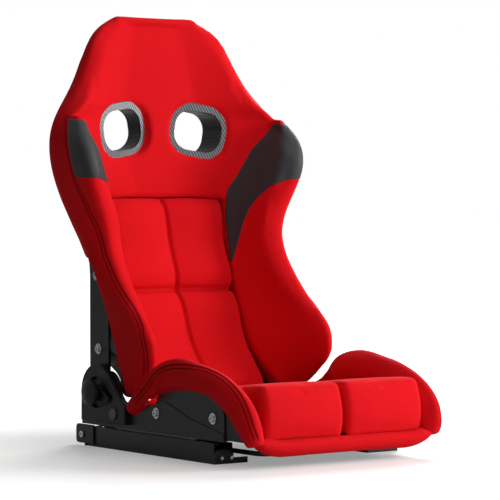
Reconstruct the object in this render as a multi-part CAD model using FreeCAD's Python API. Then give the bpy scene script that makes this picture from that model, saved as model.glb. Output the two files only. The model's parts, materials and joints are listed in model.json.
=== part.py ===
import FreeCAD, Part
import math
import os

# Reclining racing seat with side brackets, two recliners and a slide rail pair.
# Millimetres. +X is the occupant's left, the seat faces -Y, +Z is up. The origin
# lies on the floor plane, at the centre of the four floor bolt holes.
# Every sided piece is drawn for +X and mirrored for -X.

# Slide rails
RAIL_CENTRE_X = 213.0
RAIL_WIDTH = 46.0
RAIL_HEIGHT = 42.0
RAIL_WALL = 2.5
RAIL_LENGTH = 474.0
RAIL_SLOT_WIDTH = 18.0
UPPER_RAIL_LENGTH = 300.0
UPPER_RAIL_FOOT_WIDTH = 32.0
UPPER_RAIL_WALL = 3.0
UPPER_RAIL_STEM = 9.0
UPPER_RAIL_FOOT_Z = 15.0
GLIDE_WIDTH = 20.0
GLIDES_PER_RAIL = 4
GUIDE_GAP = 0.3
GUIDE_LENGTH = 24.0
LOCK_WINDOW_LENGTH = 8.0
LOCK_WINDOW_HEIGHT = 9.0
LOCK_PITCH = 16.0
LOCK_WINDOW_COUNT = 13
LOCK_WINDOW_Z = 26.0

# Feet and floor bolts
FLOOR_BOLT_SPACING_X = 340.0
FLOOR_BOLT_SPACING_Y = 430.0
FLOOR_BOLT_HOLE_RADIUS = 4.5
FOOT_THICKNESS = 4.0
FOOT_BOLT_HEAD_HEIGHT = 4.0
FOOT_BOLT_SOCKET_FLOOR = 1.5
FOOT_TAB_LENGTH = 34.0
FOOT_TAB_MARGIN = 15.0
FRONT_FOOT_HEIGHT = 30.0
FOOT_LOW_HEIGHT = 12.0
REAR_FOOT_HEIGHT = 41.0
REAR_FOOT_LIFT = 5.0
REAR_FOOT_CORNER = 9.0
REAR_FOOT_BOLT_Y = 249.0
REAR_FOOT_BOLT_Z = 24.0
FRONT_STUD_Z = 12.0
FRONT_STUD_RADIUS = 3.5
FRONT_STUD_LENGTH = 3.0
FRONT_STUD_OUTER = 7.0
FRONT_STUD_INNER = 17.0
RAIL_BOLT_RADIUS = 3.0
RAIL_BOLT_HEAD_RADIUS = 5.5
RAIL_BOLT_SINK = 2.5
RAIL_BOLT_DEPTH = 12.0
RAIL_BOLT_INSET = 30.0
REAR_FOOT_REACH = 38.0
REAR_FOOT_OVERLAP = 30.0

# Side brackets
BRACKET_INNER_X = 228.0
BRACKET_THICKNESS = 3.0
BRACKET_STEP = 2.0
BRACKET_FRONT_Y = -266.0
BRACKET_FLANGE_Z = 46.5
BRACKET_FLANGE_THICKNESS = 3.5
BRACKET_FLANGE_WIDTH = 45.0
BRACKET_EAR_HEIGHT = 136.0
BRACKET_REAR_Y = 262.0
BRACKET_HEAD_RADIUS = 56.0
BRACKET_NECK_SHARE = 0.9
BRACKET_FLANGE_INSET = 14.0
BRACKET_EAR_ROUND = [(0.0, 36.0), (12.0, 12.0), (36.0, 0.0)]
BRACKET_EAR_REAR = (-120.0, 144.0)
BRACKET_STEP_FRONT = [(-266.0, 62.0), (-150.0, 84.0)]
BRACKET_TOP_LINE = [(-60.0, 113.0), (0.0, 102.0), (70.0, 96.0)]
BRACKET_TAIL_LINE = [(240.0, 119.0), (248.0, 80.0), (262.0, 76.0)]
BASE_BOLT_FRONT_Y = -228.0
BASE_BOLT_FRONT_Z = 91.0
BASE_BOLT_REAR_Y = -27.0
BASE_BOLT_REAR_Z = 88.0

# Recliner
PIVOT_Y = 185.0
PIVOT_Z = 119.0
ARM_INNER_X = 221.0
ARM_THICKNESS = 6.0
ARM_FRONT_Y = 166.0
ARM_REAR_Y = 239.0
ARM_TOP_Z = 400.0
ARM_CORNER_RADIUS = 16.0
ARM_TAPER_Z = 152.0
ARM_CLEARANCE = 1.5
ARM_FOOT_RADIUS = 47.0
ARM_BOLT_UPPER_Y = 212.0
ARM_BOLT_UPPER_Z = 368.0
ARM_BOLT_LOWER_Y = 204.0
ARM_BOLT_LOWER_Z = 210.0
HUB_RADIUS = 33.0
HUB_INNER_X = 214.0
HUB_CAVITY_DEPTH = 8.0
HUB_BOSS_RADIUS = 12.0
HUB_BOSS_END_X = 198.0
HUB_FIT = 0.05
GEAR_TEETH = 32
RING_TEETH = 33
GEAR_TIP_RADIUS = 24.4
RING_TIP_RADIUS = 24.9
TOOTH_HEIGHT = 2.2
GEAR_DISC_RADIUS = 44.0
GEAR_DISC_THICKNESS = 5.5
GEAR_RIM_INNER_RADIUS = 36.0
SPRING_STRIP = 1.8
SPRING_PITCH = 5.0
SPRING_TURNS = 4
SPRING_WIDTH = 6.0
SPRING_POST_RADIUS = 3.0
SPRING_POST_EDGE = 1.5
SPRING_POST_ANGLE = math.radians(60.0)
RELEASE_TUBE_RADIUS = 8.0
RELEASE_TUBE_WALL = 2.4
SHAFT_RADIUS = 5.2

# Recliner cover, dial and release lever
COVER_RADIUS = 60.0
COVER_DEPTH = 14.0
COVER_WALL = 2.0
COVER_BOTTOM_Z = 56.0
COVER_NOSE_Y = 74.0
COVER_NOSE_Z = 93.0
COVER_CAP_Y = 115.0
COVER_CAP_Z = 77.0
COVER_CAP_RADIUS = 13.0
COVER_CAP_STEM_RADIUS = 10.0
COVER_CAP_THICKNESS = 3.5
COVER_CAP_EDGE = 2.0
COVER_EDGE = 3.0
WELL_RADIUS = 34.0
WELL_DEPTH = 8.0
WELL_TAIL_Y = 127.0
WELL_TAIL_Z = 108.0
WELL_TAIL_RADIUS = 9.0
LEVER_HUB_RADIUS = 19.0
LEVER_LENGTH = 50.0
LEVER_TIP_RADIUS = 6.5
LEVER_THICKNESS = 5.0
LEVER_GAP = 0.5
LEVER_EDGE = 1.5
LEVER_DROP_DEG = 14.0
DIAL_RADIUS = 28.5
DIAL_NECK_RADIUS = 17.0
DIAL_NECK_LENGTH = 6.0
DIAL_DOME_HEIGHT = 16.0
DIAL_RIM = 7.0
DIAL_SHAFT_SEAT = 4.2
DIAL_FLUTES = 18
DIAL_FLUTE_RADIUS = 2.2
DIAL_FLUTE_REACH = 1.0

# Slide lock handle
HANDLE_TUBE_RADIUS = 5.0
HANDLE_TUBE_WALL = 1.5
HANDLE_BAR_Y = -322.0
HANDLE_BAR_Z = 24.0
HANDLE_ARM_X = 178.5
HANDLE_BEND_RADIUS = 24.0
HANDLE_PIN_Y = -170.0
HANDLE_PIN_Z = 24.0
HANDLE_PIN_RADIUS = 4.0
HANDLE_ARM_THICKNESS = 5.0
HANDLE_SIDE_GAP = 0.5
HANDLE_LUG_THICKNESS = 3.0
HANDLE_LUG_LENGTH = 24.0
HANDLE_LUG_DROP = 8.0
HANDLE_PIN_HEAD = 2.5
HANDLE_PIN_HEAD_LENGTH = 1.5
HANDLE_END_REACH = 22.0
LOCK_ARM_HEIGHT = 18.0
LOCK_SOCKET_WALL = 2.0
LOCK_SOCKET_LENGTH = 17.0
LOCK_TOOTH_HEIGHT = 6.0
LOCK_TOOTH_GAP = 0.5
LOCK_TOOTH_PLAY = 1.0
PAWL_Y = -110.0
PAWL_TEETH = 3

# Moulded shells
SHELL_WALL = 4.0
FOAM_FIT = 0.5
FOAM_EDGE_GAP = 1.2
FOAM_LIMIT_GROWTH = 25.0
FOAM_REACH = 90.0
BASE_SHELL_FRONT_Y = -352.0
BASE_SHELL_LIP_Z = 26.0
BASE_SHELL_REAR_Y = 128.0
BASE_LIP_SLANT = 12.0
BASE_WALL_RISE = 8.0
BASE_WALL_REAR = [(-14.0, 104.0), (24.0, 80.0), (70.0, 64.0)]
BASE_REAR_WALL_Z = 62.0
HARNESS_X = 101.5
HARNESS_Z = 683.0
HARNESS_OPENING_WIDTH = 115.0
HARNESS_OPENING_HEIGHT = 90.0
HARNESS_RIM = 18.0
HARNESS_TILT_DEG = 9.0
HARNESS_YAW_DEG = 12.0
HARNESS_CORNER = 38.0
HARNESS_LIP = 5.0
HARNESS_FACE_Y = 303.0
HARNESS_CHAMFER = 3.0
HARNESS_STEP = 1.2
HARNESS_SLEEVE_WALL = 3.2
HARNESS_RING_MARGIN = 10.8
HARNESS_RING_THICKNESS = 5.0
HARNESS_BACK_Y = 371.0
HARNESS_SLEEVE_BLANK = 30.0
HARNESS_CUT_REACH = 80.0

# Cushions
PAD_CROWN = 12.0
PAD_BORDER = 6.0
PAD_CHANNEL = 9.0
PAD_GROOVE_HALF = 2.0
PAD_CHANNEL_Z = 330.0
PAD_END_ROUND = 12.0
PAD_SWELL_SHARES = (0.35, 0.68)
THIGH_PAD_GAP = 11.0
THIGH_PAD_WIDTH = 194.0
THIGH_PAD_FRONT_Y = -369.0
THIGH_PAD_REAR_Y = -190.0
THIGH_PAD_TOP_Z = 164.0
THIGH_PAD_DROP = 18.0
THIGH_PAD_CROWN = 5.0
THIGH_PAD_CORNER = 12.0
THIGH_SIDE_RADIUS = 9.0
THIGH_SIDE_DROP = 1.5
THIGH_SIDE_STEPS = 4
THIGH_FRONT_LEAN = 5.0
THIGH_NOSE_DROP = 4.0
BOLSTER_CREST_WIDTH = 46.0
SEAT_CUSHION_HALF_WIDTH = 190.0
SEAT_CUSHION_REAR_Y = 116.0
SEAT_CUSHION_LOW_Z = 102.0
SEAT_CUSHION_CORNER = 10.0
SEAT_CUSHION_DISH = 4.0
LIP_SHELL_HALF = 196.0
HEAD_FLAT_SHARE = 0.40
HEAD_BEND_SHARE = 0.40

# Fasteners
BOLT_SHANK_RADIUS = 4.0
BOLT_HEAD_RADIUS = 7.0
BOLT_HEAD_HEIGHT = 5.0
BOLT_SOCKET = 6.0
BOLT_CHAMFER = 0.8
BOLT_SOCKET_FLOOR = 1.8
WASHER_RADIUS = 11.5
WASHER_THICKNESS = 1.8
INSERT_RADIUS = 8.0
INSERT_LENGTH = 9.0

# Backrest stations: height, half width, front edge Y, rear face Y, corner radius
SHELL_STATIONS = [
    (106.0, 190.0, 122.0, 158.0, 14.0),
    (140.0, 192.0, 124.0, 182.0, 14.0),
    (166.0, 198.0, 122.0, 202.0, 14.0),
    (200.0, 221.0, 120.0, 226.0, 14.0),
    (260.0, 221.0, 140.0, 255.0, 32.0),
    (330.0, 221.0, 177.0, 285.0, 56.0),
    (400.0, 221.0, 212.0, 312.0, 82.0),
    (465.0, 236.0, 230.0, 332.0, 98.0),
    (530.0, 256.0, 251.0, 346.0, 88.0),
    (600.0, 273.0, 266.0, 356.0, 80.0),
    (670.0, 275.0, 266.0, 362.0, 84.0),
    (725.0, 254.0, 266.0, 366.0, 88.0),
    (780.0, 216.0, 282.0, 369.0, 75.0),
    (850.0, 180.0, 300.0, 371.0, 60.0),
    (905.0, 140.0, 315.0, 372.0, 46.0),
    (929.0, 100.0, 322.0, 368.0, 36.0),
]

# Wing outline: directions in which the tip's arc starts and ends, and bulges of its two faces
WING_LEAN_IN = math.radians(216.0)
WING_LEAN_OUT = math.radians(-30.0)
WING_INNER_BULGE_X = 4.0
WING_INNER_BULGE_Y = 3.0
WING_OUTER_BULGE = 2.5
WING_ROOT_DEPTH = 70.0
WING_ROOT_MIN = 8.0
WING_CORNER_SHARE = 0.8
WING_BACK_SHARE = 0.25

# Wing stations: height, tip X, tip Y, tip radius, root X, root Y, outer X, outer Y
WING_STATIONS = [
    (112.0, 216.0, 78.0, 5.0, 196.0, 106.0, 221.0, 106.0),
    (135.0, 223.0, 42.0, 9.0, 176.0, 112.0, 228.0, 103.0),
    (163.0, 226.0, 6.0, 10.0, 164.0, 136.0, 233.0, 108.0),
    (200.0, 229.0, -19.0, 10.0, 155.0, 160.0, 237.0, 128.0),
    (235.0, 231.0, -15.0, 10.0, 153.0, 178.0, 239.0, 139.0),
    (275.0, 231.0, 14.0, 11.0, 153.0, 202.0, 239.0, 156.0),
    (320.0, 227.0, 63.0, 12.0, 153.0, 226.0, 240.0, 180.0),
    (365.0, 225.0, 106.0, 13.0, 153.0, 240.0, 243.0, 204.0),
    (410.0, 224.0, 139.0, 14.0, 154.0, 254.0, 248.0, 223.0),
    (455.0, 224.0, 156.0, 15.0, 156.0, 266.0, 257.0, 236.0),
    (500.0, 233.0, 158.0, 17.0, 159.0, 280.0, 267.0, 249.0),
    (550.0, 254.0, 154.0, 18.0, 170.0, 284.0, 279.0, 264.0),
    (600.0, 270.0, 149.0, 19.0, 197.0, 274.0, 288.0, 273.0),
    (650.0, 277.0, 163.0, 19.0, 229.0, 263.0, 292.0, 274.0),
    (690.0, 272.0, 192.0, 16.0, 262.0, 251.0, 285.0, 274.0),
    (714.0, 268.0, 216.0, 9.0, 269.0, 247.0, 276.0, 272.0),
]

# Head and shoulder stations: height, half width, side front Y, centre front Y, side rear Y, edge radius
HEAD_STATIONS = [
    (531.0, 163.0, 290.0, 303.0, 334.0, 6.0),
    (550.0, 174.0, 285.0, 303.0, 334.0, 6.0),
    (600.0, 201.0, 274.0, 304.0, 334.0, 7.0),
    (650.0, 232.0, 262.0, 305.0, 330.0, 8.0),
    (692.0, 264.0, 247.0, 307.0, 312.0, 10.0),
    (712.0, 277.0, 240.0, 308.0, 296.0, 14.0),
    (735.0, 256.0, 243.0, 309.0, 300.0, 18.0),
    (765.0, 231.0, 261.0, 311.0, 312.0, 20.0),
    (800.0, 209.0, 277.0, 313.0, 326.0, 22.0),
    (850.0, 183.0, 291.0, 316.0, 342.0, 22.0),
    (890.0, 158.0, 304.0, 321.0, 354.0, 22.0),
    (915.0, 130.0, 313.0, 328.0, 360.0, 20.0),
    (928.0, 106.0, 321.0, 335.0, 362.0, 18.0),
    (935.0, 74.0, 332.0, 342.0, 358.0, 14.0),
]

# Back pad stations: height, groove Y, half width
PAD_LINE = [
    (100.0, 130.0, 150.0), (110.0, 122.0, 150.0), (121.0, 121.0, 150.0), (150.0, 138.0, 150.0),
    (179.0, 158.0, 150.0), (215.0, 181.0, 150.0), (254.0, 204.0, 150.0), (293.0, 224.0, 150.0),
    (330.0, 243.0, 150.0), (385.0, 255.0, 150.0), (440.0, 269.0, 152.0), (484.0, 286.0, 155.0),
    (531.0, 302.0, 159.0),
]

# Seat bolster stations: top Y, top Z, bottom Y, bottom Z, inner X, outer X, inner drop
BOLSTER_STATIONS = [
    (74.0, 97.0, 62.0, 82.0, 236.0, 244.0, 0.0),
    (38.0, 135.0, 8.0, 101.0, 236.0, 247.0, 0.0),
    (2.0, 165.0, -32.0, 126.0, 235.5, 249.0, 2.0),
    (-46.0, 192.0, -62.0, 144.0, 208.0, 251.0, 20.0),
    (-110.0, 206.0, -108.0, 151.0, 196.0, 252.0, 24.0),
    (-180.0, 200.0, -172.0, 149.0, 200.0, 252.0, 16.0),
    (-250.0, 186.0, -232.0, 138.0, 200.5, 252.0, 8.0),
    (-314.0, 161.0, -284.0, 112.0, 200.5, 252.0, 0.0),
    (-357.0, 130.0, -316.0, 84.0, 200.5, 251.0, 0.0),
    (-381.0, 88.0, -341.0, 60.0, 200.5, 249.0, 0.0),
    (-379.0, 50.0, -353.0, 42.0, 200.5, 240.0, 0.0),
]

# Seat cushion stations: Y, top Z, half width
SEAT_ROWS = [
    (THIGH_PAD_REAR_Y + 0.5, THIGH_PAD_TOP_Z - THIGH_PAD_DROP - 6.0, SEAT_CUSHION_HALF_WIDTH + 4.0),
    (THIGH_PAD_REAR_Y + 14.0, THIGH_PAD_TOP_Z - THIGH_PAD_DROP - 2.0, SEAT_CUSHION_HALF_WIDTH + 4.0),
    (-120.0, 128.0, SEAT_CUSHION_HALF_WIDTH),
    (-60.0, 112.0, SEAT_CUSHION_HALF_WIDTH),
    (0.0, SEAT_CUSHION_LOW_Z + 2.0, SEAT_CUSHION_HALF_WIDTH),
    (60.0, SEAT_CUSHION_LOW_Z, SEAT_CUSHION_HALF_WIDTH - 1.0),
    (SEAT_CUSHION_REAR_Y - 12.0, SEAT_CUSHION_LOW_Z - 1.0, SEAT_CUSHION_HALF_WIDTH - 2.0),
    (SEAT_CUSHION_REAR_Y, SEAT_CUSHION_LOW_Z - 8.0, SEAT_CUSHION_HALF_WIDTH - 5.0),
]

# Front lip stations: X, lowest Z, highest Z, front Y
LIP_STATIONS = [
    (0.0, 20.0, 51.0, -379.0),
    (110.0, 20.0, 51.0, -379.0),
    (186.0, 20.0, 50.0, -379.0),
    (204.0, 21.5, 42.0, -378.0),
    (216.0, 25.0, 39.0, -373.0),
    (221.0, 29.0, 36.0, -366.0),
]


def point(x, y, z):
    return FreeCAD.Vector(x, y, z)


def box(x0, x1, y0, y1, z0, z1):
    return Part.makeBox(x1 - x0, y1 - y0, z1 - z0, point(x0, y0, z0))


def rod_x(y, z, radius, x0, x1):
    return Part.makeCylinder(radius, x1 - x0, point(x0, y, z), point(1, 0, 0))


def rod_y(x, z, radius, y0, y1):
    return Part.makeCylinder(radius, y1 - y0, point(x, y0, z), point(0, 1, 0))


def rod_z(x, y, radius, z0, z1):
    return Part.makeCylinder(radius, z1 - z0, point(x, y, z0), point(0, 0, 1))


def mirrored(shape):
    return shape.mirror(point(0, 0, 0), point(1, 0, 0))


def line(a, b):
    return Part.LineSegment(a, b).toShape()


def arc(a, middle, b):
    return Part.Arc(a, middle, b).toShape()


def prism_x(points, x0, x1):
    """Solid over a YZ outline, between two X planes."""
    corners = [point(x0, y, z) for y, z in points]
    face = Part.Face(Part.makePolygon(corners + corners[:1]))
    return face.extrude(point(x1 - x0, 0, 0))


def prism_y(points, y0, y1):
    """Solid over an XZ outline, between two Y planes."""
    corners = [point(x, y0, z) for x, z in points]
    face = Part.Face(Part.makePolygon(corners + corners[:1]))
    return face.extrude(point(0, y1 - y0, 0))


def loft(wires):
    return Part.makeLoft(wires, True, False)


def fillet_lines(shape, radius, keep):
    """Round the straight or curved edges that the test function keeps."""
    edges = [edge for edge in shape.Edges if keep(edge)]
    return shape.makeFillet(radius, edges)


def rounded_rectangle(width, height, corner, y, inset=0.0):
    """Wire in an XZ plane about the origin, with rounded corners."""
    w = width / 2 - inset
    h = height / 2 - inset
    r = corner - inset
    k = r * (1 - math.sqrt(0.5))
    edges = [
        line(point(-w + r, y, -h), point(w - r, y, -h)),
        arc(point(w - r, y, -h), point(w - k, y, -h + k), point(w, y, -h + r)),
        line(point(w, y, -h + r), point(w, y, h - r)),
        arc(point(w, y, h - r), point(w - k, y, h - k), point(w - r, y, h)),
        line(point(w - r, y, h), point(-w + r, y, h)),
        arc(point(-w + r, y, h), point(-w + k, y, h - k), point(-w, y, h - r)),
        line(point(-w, y, h - r), point(-w, y, -h + r)),
        arc(point(-w, y, -h + r), point(-w + k, y, -h + k), point(-w + r, y, -h)),
    ]
    return Part.Wire(edges)


def interpolate(table, height, column=1):
    """Straight-line value of one column of a station table at a height."""
    rows = sorted(table)
    if height <= rows[0][0]:
        return rows[0][column]
    for low, high in zip(rows, rows[1:]):
        if height <= high[0]:
            share = (height - low[0]) / (high[0] - low[0])
            return low[column] + share * (high[column] - low[column])
    return rows[-1][column]


# Slide rails and feet

RAIL_INNER_X = RAIL_CENTRE_X - RAIL_WIDTH / 2
RAIL_OUTER_X = RAIL_CENTRE_X + RAIL_WIDTH / 2
RAIL_FRONT_Y = -RAIL_LENGTH / 2
RAIL_REAR_Y = RAIL_LENGTH / 2


def lower_rail():
    x0 = RAIL_INNER_X
    x1 = RAIL_OUTER_X
    t = RAIL_WALL
    slot0 = RAIL_CENTRE_X - RAIL_SLOT_WIDTH / 2
    slot1 = RAIL_CENTRE_X + RAIL_SLOT_WIDTH / 2
    section = [
        (x0, 0), (x1, 0), (x1, RAIL_HEIGHT), (slot1, RAIL_HEIGHT), (slot1, RAIL_HEIGHT - t),
        (x1 - t, RAIL_HEIGHT - t), (x1 - t, t), (x0 + t, t), (x0 + t, RAIL_HEIGHT - t),
        (slot0, RAIL_HEIGHT - t), (slot0, RAIL_HEIGHT), (x0, RAIL_HEIGHT),
    ]
    rail = prism_y(section, RAIL_FRONT_Y, RAIL_REAR_Y)
    first = PAWL_Y - LOCK_PITCH * (LOCK_WINDOW_COUNT - 1) / 2
    windows = []
    for index in range(LOCK_WINDOW_COUNT):
        middle = first + index * LOCK_PITCH
        windows.append(box(x0 - 1, x0 + t + 1, middle - LOCK_WINDOW_LENGTH / 2,
                           middle + LOCK_WINDOW_LENGTH / 2,
                           LOCK_WINDOW_Z - LOCK_WINDOW_HEIGHT / 2,
                           LOCK_WINDOW_Z + LOCK_WINDOW_HEIGHT / 2))
    return rail.cut(Part.makeCompound(windows))


def foot_tab(y_bolt, y_plate):
    """Floor tab beside the rail, from the far side of its bolt hole to the end plate."""
    x_bolt = FLOOR_BOLT_SPACING_X / 2
    y_far = y_bolt - math.copysign(FOOT_TAB_LENGTH / 2, y_bolt)
    tab = box(x_bolt - FOOT_TAB_MARGIN, RAIL_INNER_X, min(y_far, y_plate), max(y_far, y_plate),
              0, FOOT_THICKNESS)
    return tab.cut(rod_z(x_bolt, y_bolt, FLOOR_BOLT_HOLE_RADIUS, -1, FOOT_THICKNESS + 1))


def end_plate(y0, y1, x1, height):
    """Upright plate across the end of a rail, low beside it so that the handle passes over."""
    x0 = FLOOR_BOLT_SPACING_X / 2 - FOOT_TAB_MARGIN
    cut = height / 4
    outline = [(x0, 0), (x1, 0), (x1, height - cut), (x1 - cut, height), (RAIL_INNER_X + cut, height),
               (RAIL_INNER_X, height - cut), (RAIL_INNER_X, FOOT_LOW_HEIGHT), (x0, FOOT_LOW_HEIGHT)]
    return prism_y(outline, y0, y1)


def front_foot():
    plate = end_plate(RAIL_FRONT_Y - FOOT_THICKNESS, RAIL_FRONT_Y, RAIL_OUTER_X, FRONT_FOOT_HEIGHT)
    return plate.fuse(foot_tab(-FLOOR_BOLT_SPACING_Y / 2, RAIL_FRONT_Y - FOOT_THICKNESS))


def rear_foot():
    x1 = RAIL_OUTER_X + FOOT_THICKNESS
    plate = end_plate(RAIL_REAR_Y, RAIL_REAR_Y + FOOT_THICKNESS, x1, REAR_FOOT_HEIGHT)
    side = box(RAIL_OUTER_X, x1, RAIL_REAR_Y - REAR_FOOT_OVERLAP, RAIL_REAR_Y + REAR_FOOT_REACH,
               REAR_FOOT_LIFT, REAR_FOOT_LIFT + REAR_FOOT_HEIGHT)
    rear = RAIL_REAR_Y + REAR_FOOT_REACH - 0.1
    side = fillet_lines(side, REAR_FOOT_CORNER, lambda e: e.CenterOfMass.y > rear
                        and e.Length < FOOT_THICKNESS + 0.1)
    tab = foot_tab(FLOOR_BOLT_SPACING_Y / 2, RAIL_REAR_Y + FOOT_THICKNESS)
    return plate.fuse([side, tab])


def hex_prism_x(y, z, across_flats, x0, x1):
    """Six-sided prism along X, for sockets and nuts."""
    radius = across_flats / math.sqrt(3)
    corners = []
    for index in range(6):
        angle = math.radians(60 * index)
        corners.append((y + radius * math.cos(angle), z + radius * math.sin(angle)))
    return prism_x(corners, x0, x1)


def socket_bolt(y, z, face_x, shank_end_x):
    """Socket-head bolt on a washer: the head is outside face_x, the shank inside."""
    head_x = face_x + WASHER_THICKNESS
    washer = rod_x(y, z, WASHER_RADIUS, face_x, head_x)
    head = rod_x(y, z, BOLT_HEAD_RADIUS, head_x, head_x + BOLT_HEAD_HEIGHT)
    rim = [e for e in head.Edges if e.CenterOfMass.x > head_x + BOLT_HEAD_HEIGHT - 0.1]
    head = head.makeChamfer(BOLT_CHAMFER, rim)
    shank = rod_x(y, z, BOLT_SHANK_RADIUS, shank_end_x, head_x)
    socket = hex_prism_x(y, z, BOLT_SOCKET, head_x + BOLT_SOCKET_FLOOR,
                         head_x + BOLT_HEAD_HEIGHT + 1)
    return washer.fuse([head, shank]).cut(socket).removeSplitter()


def threaded_insert(y, z, x1):
    """Flanged insert bonded to the inner face of a shell wall."""
    body = rod_x(y, z, INSERT_RADIUS, x1 - INSERT_LENGTH, x1)
    return body.cut(rod_x(y, z, BOLT_SHANK_RADIUS, x1 - INSERT_LENGTH - 1, x1 + 1))


def foot_bolts():
    """Stud ends on the front feet and the side bolt of the rear feet."""
    y_front = RAIL_FRONT_Y - FOOT_THICKNESS
    studs = []
    for x in (RAIL_CENTRE_X + FRONT_STUD_OUTER, RAIL_CENTRE_X - FRONT_STUD_INNER):
        studs.append(rod_y(x, FRONT_STUD_Z, FRONT_STUD_RADIUS, y_front - FRONT_STUD_LENGTH, y_front))
    side_x = RAIL_OUTER_X + FOOT_THICKNESS
    head_x = side_x + FOOT_BOLT_HEAD_HEIGHT
    side = rod_x(REAR_FOOT_BOLT_Y, REAR_FOOT_BOLT_Z, BOLT_HEAD_RADIUS, side_x, head_x)
    side = side.cut(hex_prism_x(REAR_FOOT_BOLT_Y, REAR_FOOT_BOLT_Z, BOLT_SOCKET,
                                side_x + FOOT_BOLT_SOCKET_FLOOR, head_x + 1))
    return studs + [side]


# Upper rails, glides and guides

UPPER_FOOT_TOP = UPPER_RAIL_FOOT_Z + UPPER_RAIL_WALL
UPPER_HALF = UPPER_RAIL_LENGTH / 2
BRACKET_FLANGE_TOP = BRACKET_FLANGE_Z + BRACKET_FLANGE_THICKNESS


def upper_rail():
    """Inverted T rail: a foot inside the channel and a stem up through its slot."""
    half = UPPER_RAIL_FOOT_WIDTH / 2
    x = RAIL_CENTRE_X
    foot = box(x - half, x + half, -UPPER_HALF, UPPER_HALF, UPPER_RAIL_FOOT_Z, UPPER_FOOT_TOP)
    stem = box(x - UPPER_RAIL_STEM / 2, x + UPPER_RAIL_STEM / 2, -UPPER_HALF, UPPER_HALF,
               UPPER_FOOT_TOP, BRACKET_FLANGE_Z)
    threads = [rod_z(x, y, RAIL_BOLT_RADIUS, BRACKET_FLANGE_Z - RAIL_BOLT_DEPTH, BRACKET_FLANGE_Z)
               for y in rail_bolt_places()]
    return foot.fuse(stem).cut(Part.makeCompound(threads)).removeSplitter()


def rail_bolt_places():
    return [-UPPER_HALF + RAIL_BOLT_INSET, UPPER_HALF - RAIL_BOLT_INSET]


def rail_glides():
    """Low-friction blocks under the rail foot, running on the channel floor."""
    x = RAIL_CENTRE_X
    step = (UPPER_RAIL_LENGTH - 2 * GUIDE_LENGTH) / (GLIDES_PER_RAIL - 1)
    blocks = []
    for index in range(GLIDES_PER_RAIL):
        y = -UPPER_HALF + GUIDE_LENGTH + index * step
        blocks.append(box(x - GLIDE_WIDTH / 2, x + GLIDE_WIDTH / 2, y - GUIDE_LENGTH / 2,
                          y + GUIDE_LENGTH / 2, RAIL_WALL + GUIDE_GAP, UPPER_RAIL_FOOT_Z))
    return blocks


def rail_guides():
    """Slide pads that take up the play between the rail foot and the channel walls."""
    half = UPPER_RAIL_FOOT_WIDTH / 2
    inner_wall = RAIL_INNER_X + RAIL_WALL
    outer_wall = RAIL_OUTER_X - RAIL_WALL
    pads = []
    for y in (-UPPER_HALF + GUIDE_LENGTH, UPPER_HALF - GUIDE_LENGTH):
        for x0, x1 in ((inner_wall + GUIDE_GAP, RAIL_CENTRE_X - half),
                       (RAIL_CENTRE_X + half, outer_wall - GUIDE_GAP)):
            pads.append(box(x0, x1, y - GUIDE_LENGTH / 2, y + GUIDE_LENGTH / 2,
                            UPPER_RAIL_FOOT_Z, UPPER_FOOT_TOP))
    return pads


def rail_bolts():
    """Cap bolts that hold the bracket flange to the upper rail."""
    bolts = []
    for y in rail_bolt_places():
        shank = rod_z(RAIL_CENTRE_X, y, RAIL_BOLT_RADIUS, BRACKET_FLANGE_Z - RAIL_BOLT_DEPTH,
                      BRACKET_FLANGE_TOP - RAIL_BOLT_SINK)
        head = Part.makeCone(RAIL_BOLT_RADIUS, RAIL_BOLT_HEAD_RADIUS, RAIL_BOLT_SINK,
                             point(RAIL_CENTRE_X, y, BRACKET_FLANGE_TOP - RAIL_BOLT_SINK))
        bolts.append(shank.fuse(head))
    return bolts


# Side brackets

BRACKET_OUTER_X = BRACKET_INNER_X + BRACKET_THICKNESS + BRACKET_STEP


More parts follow.
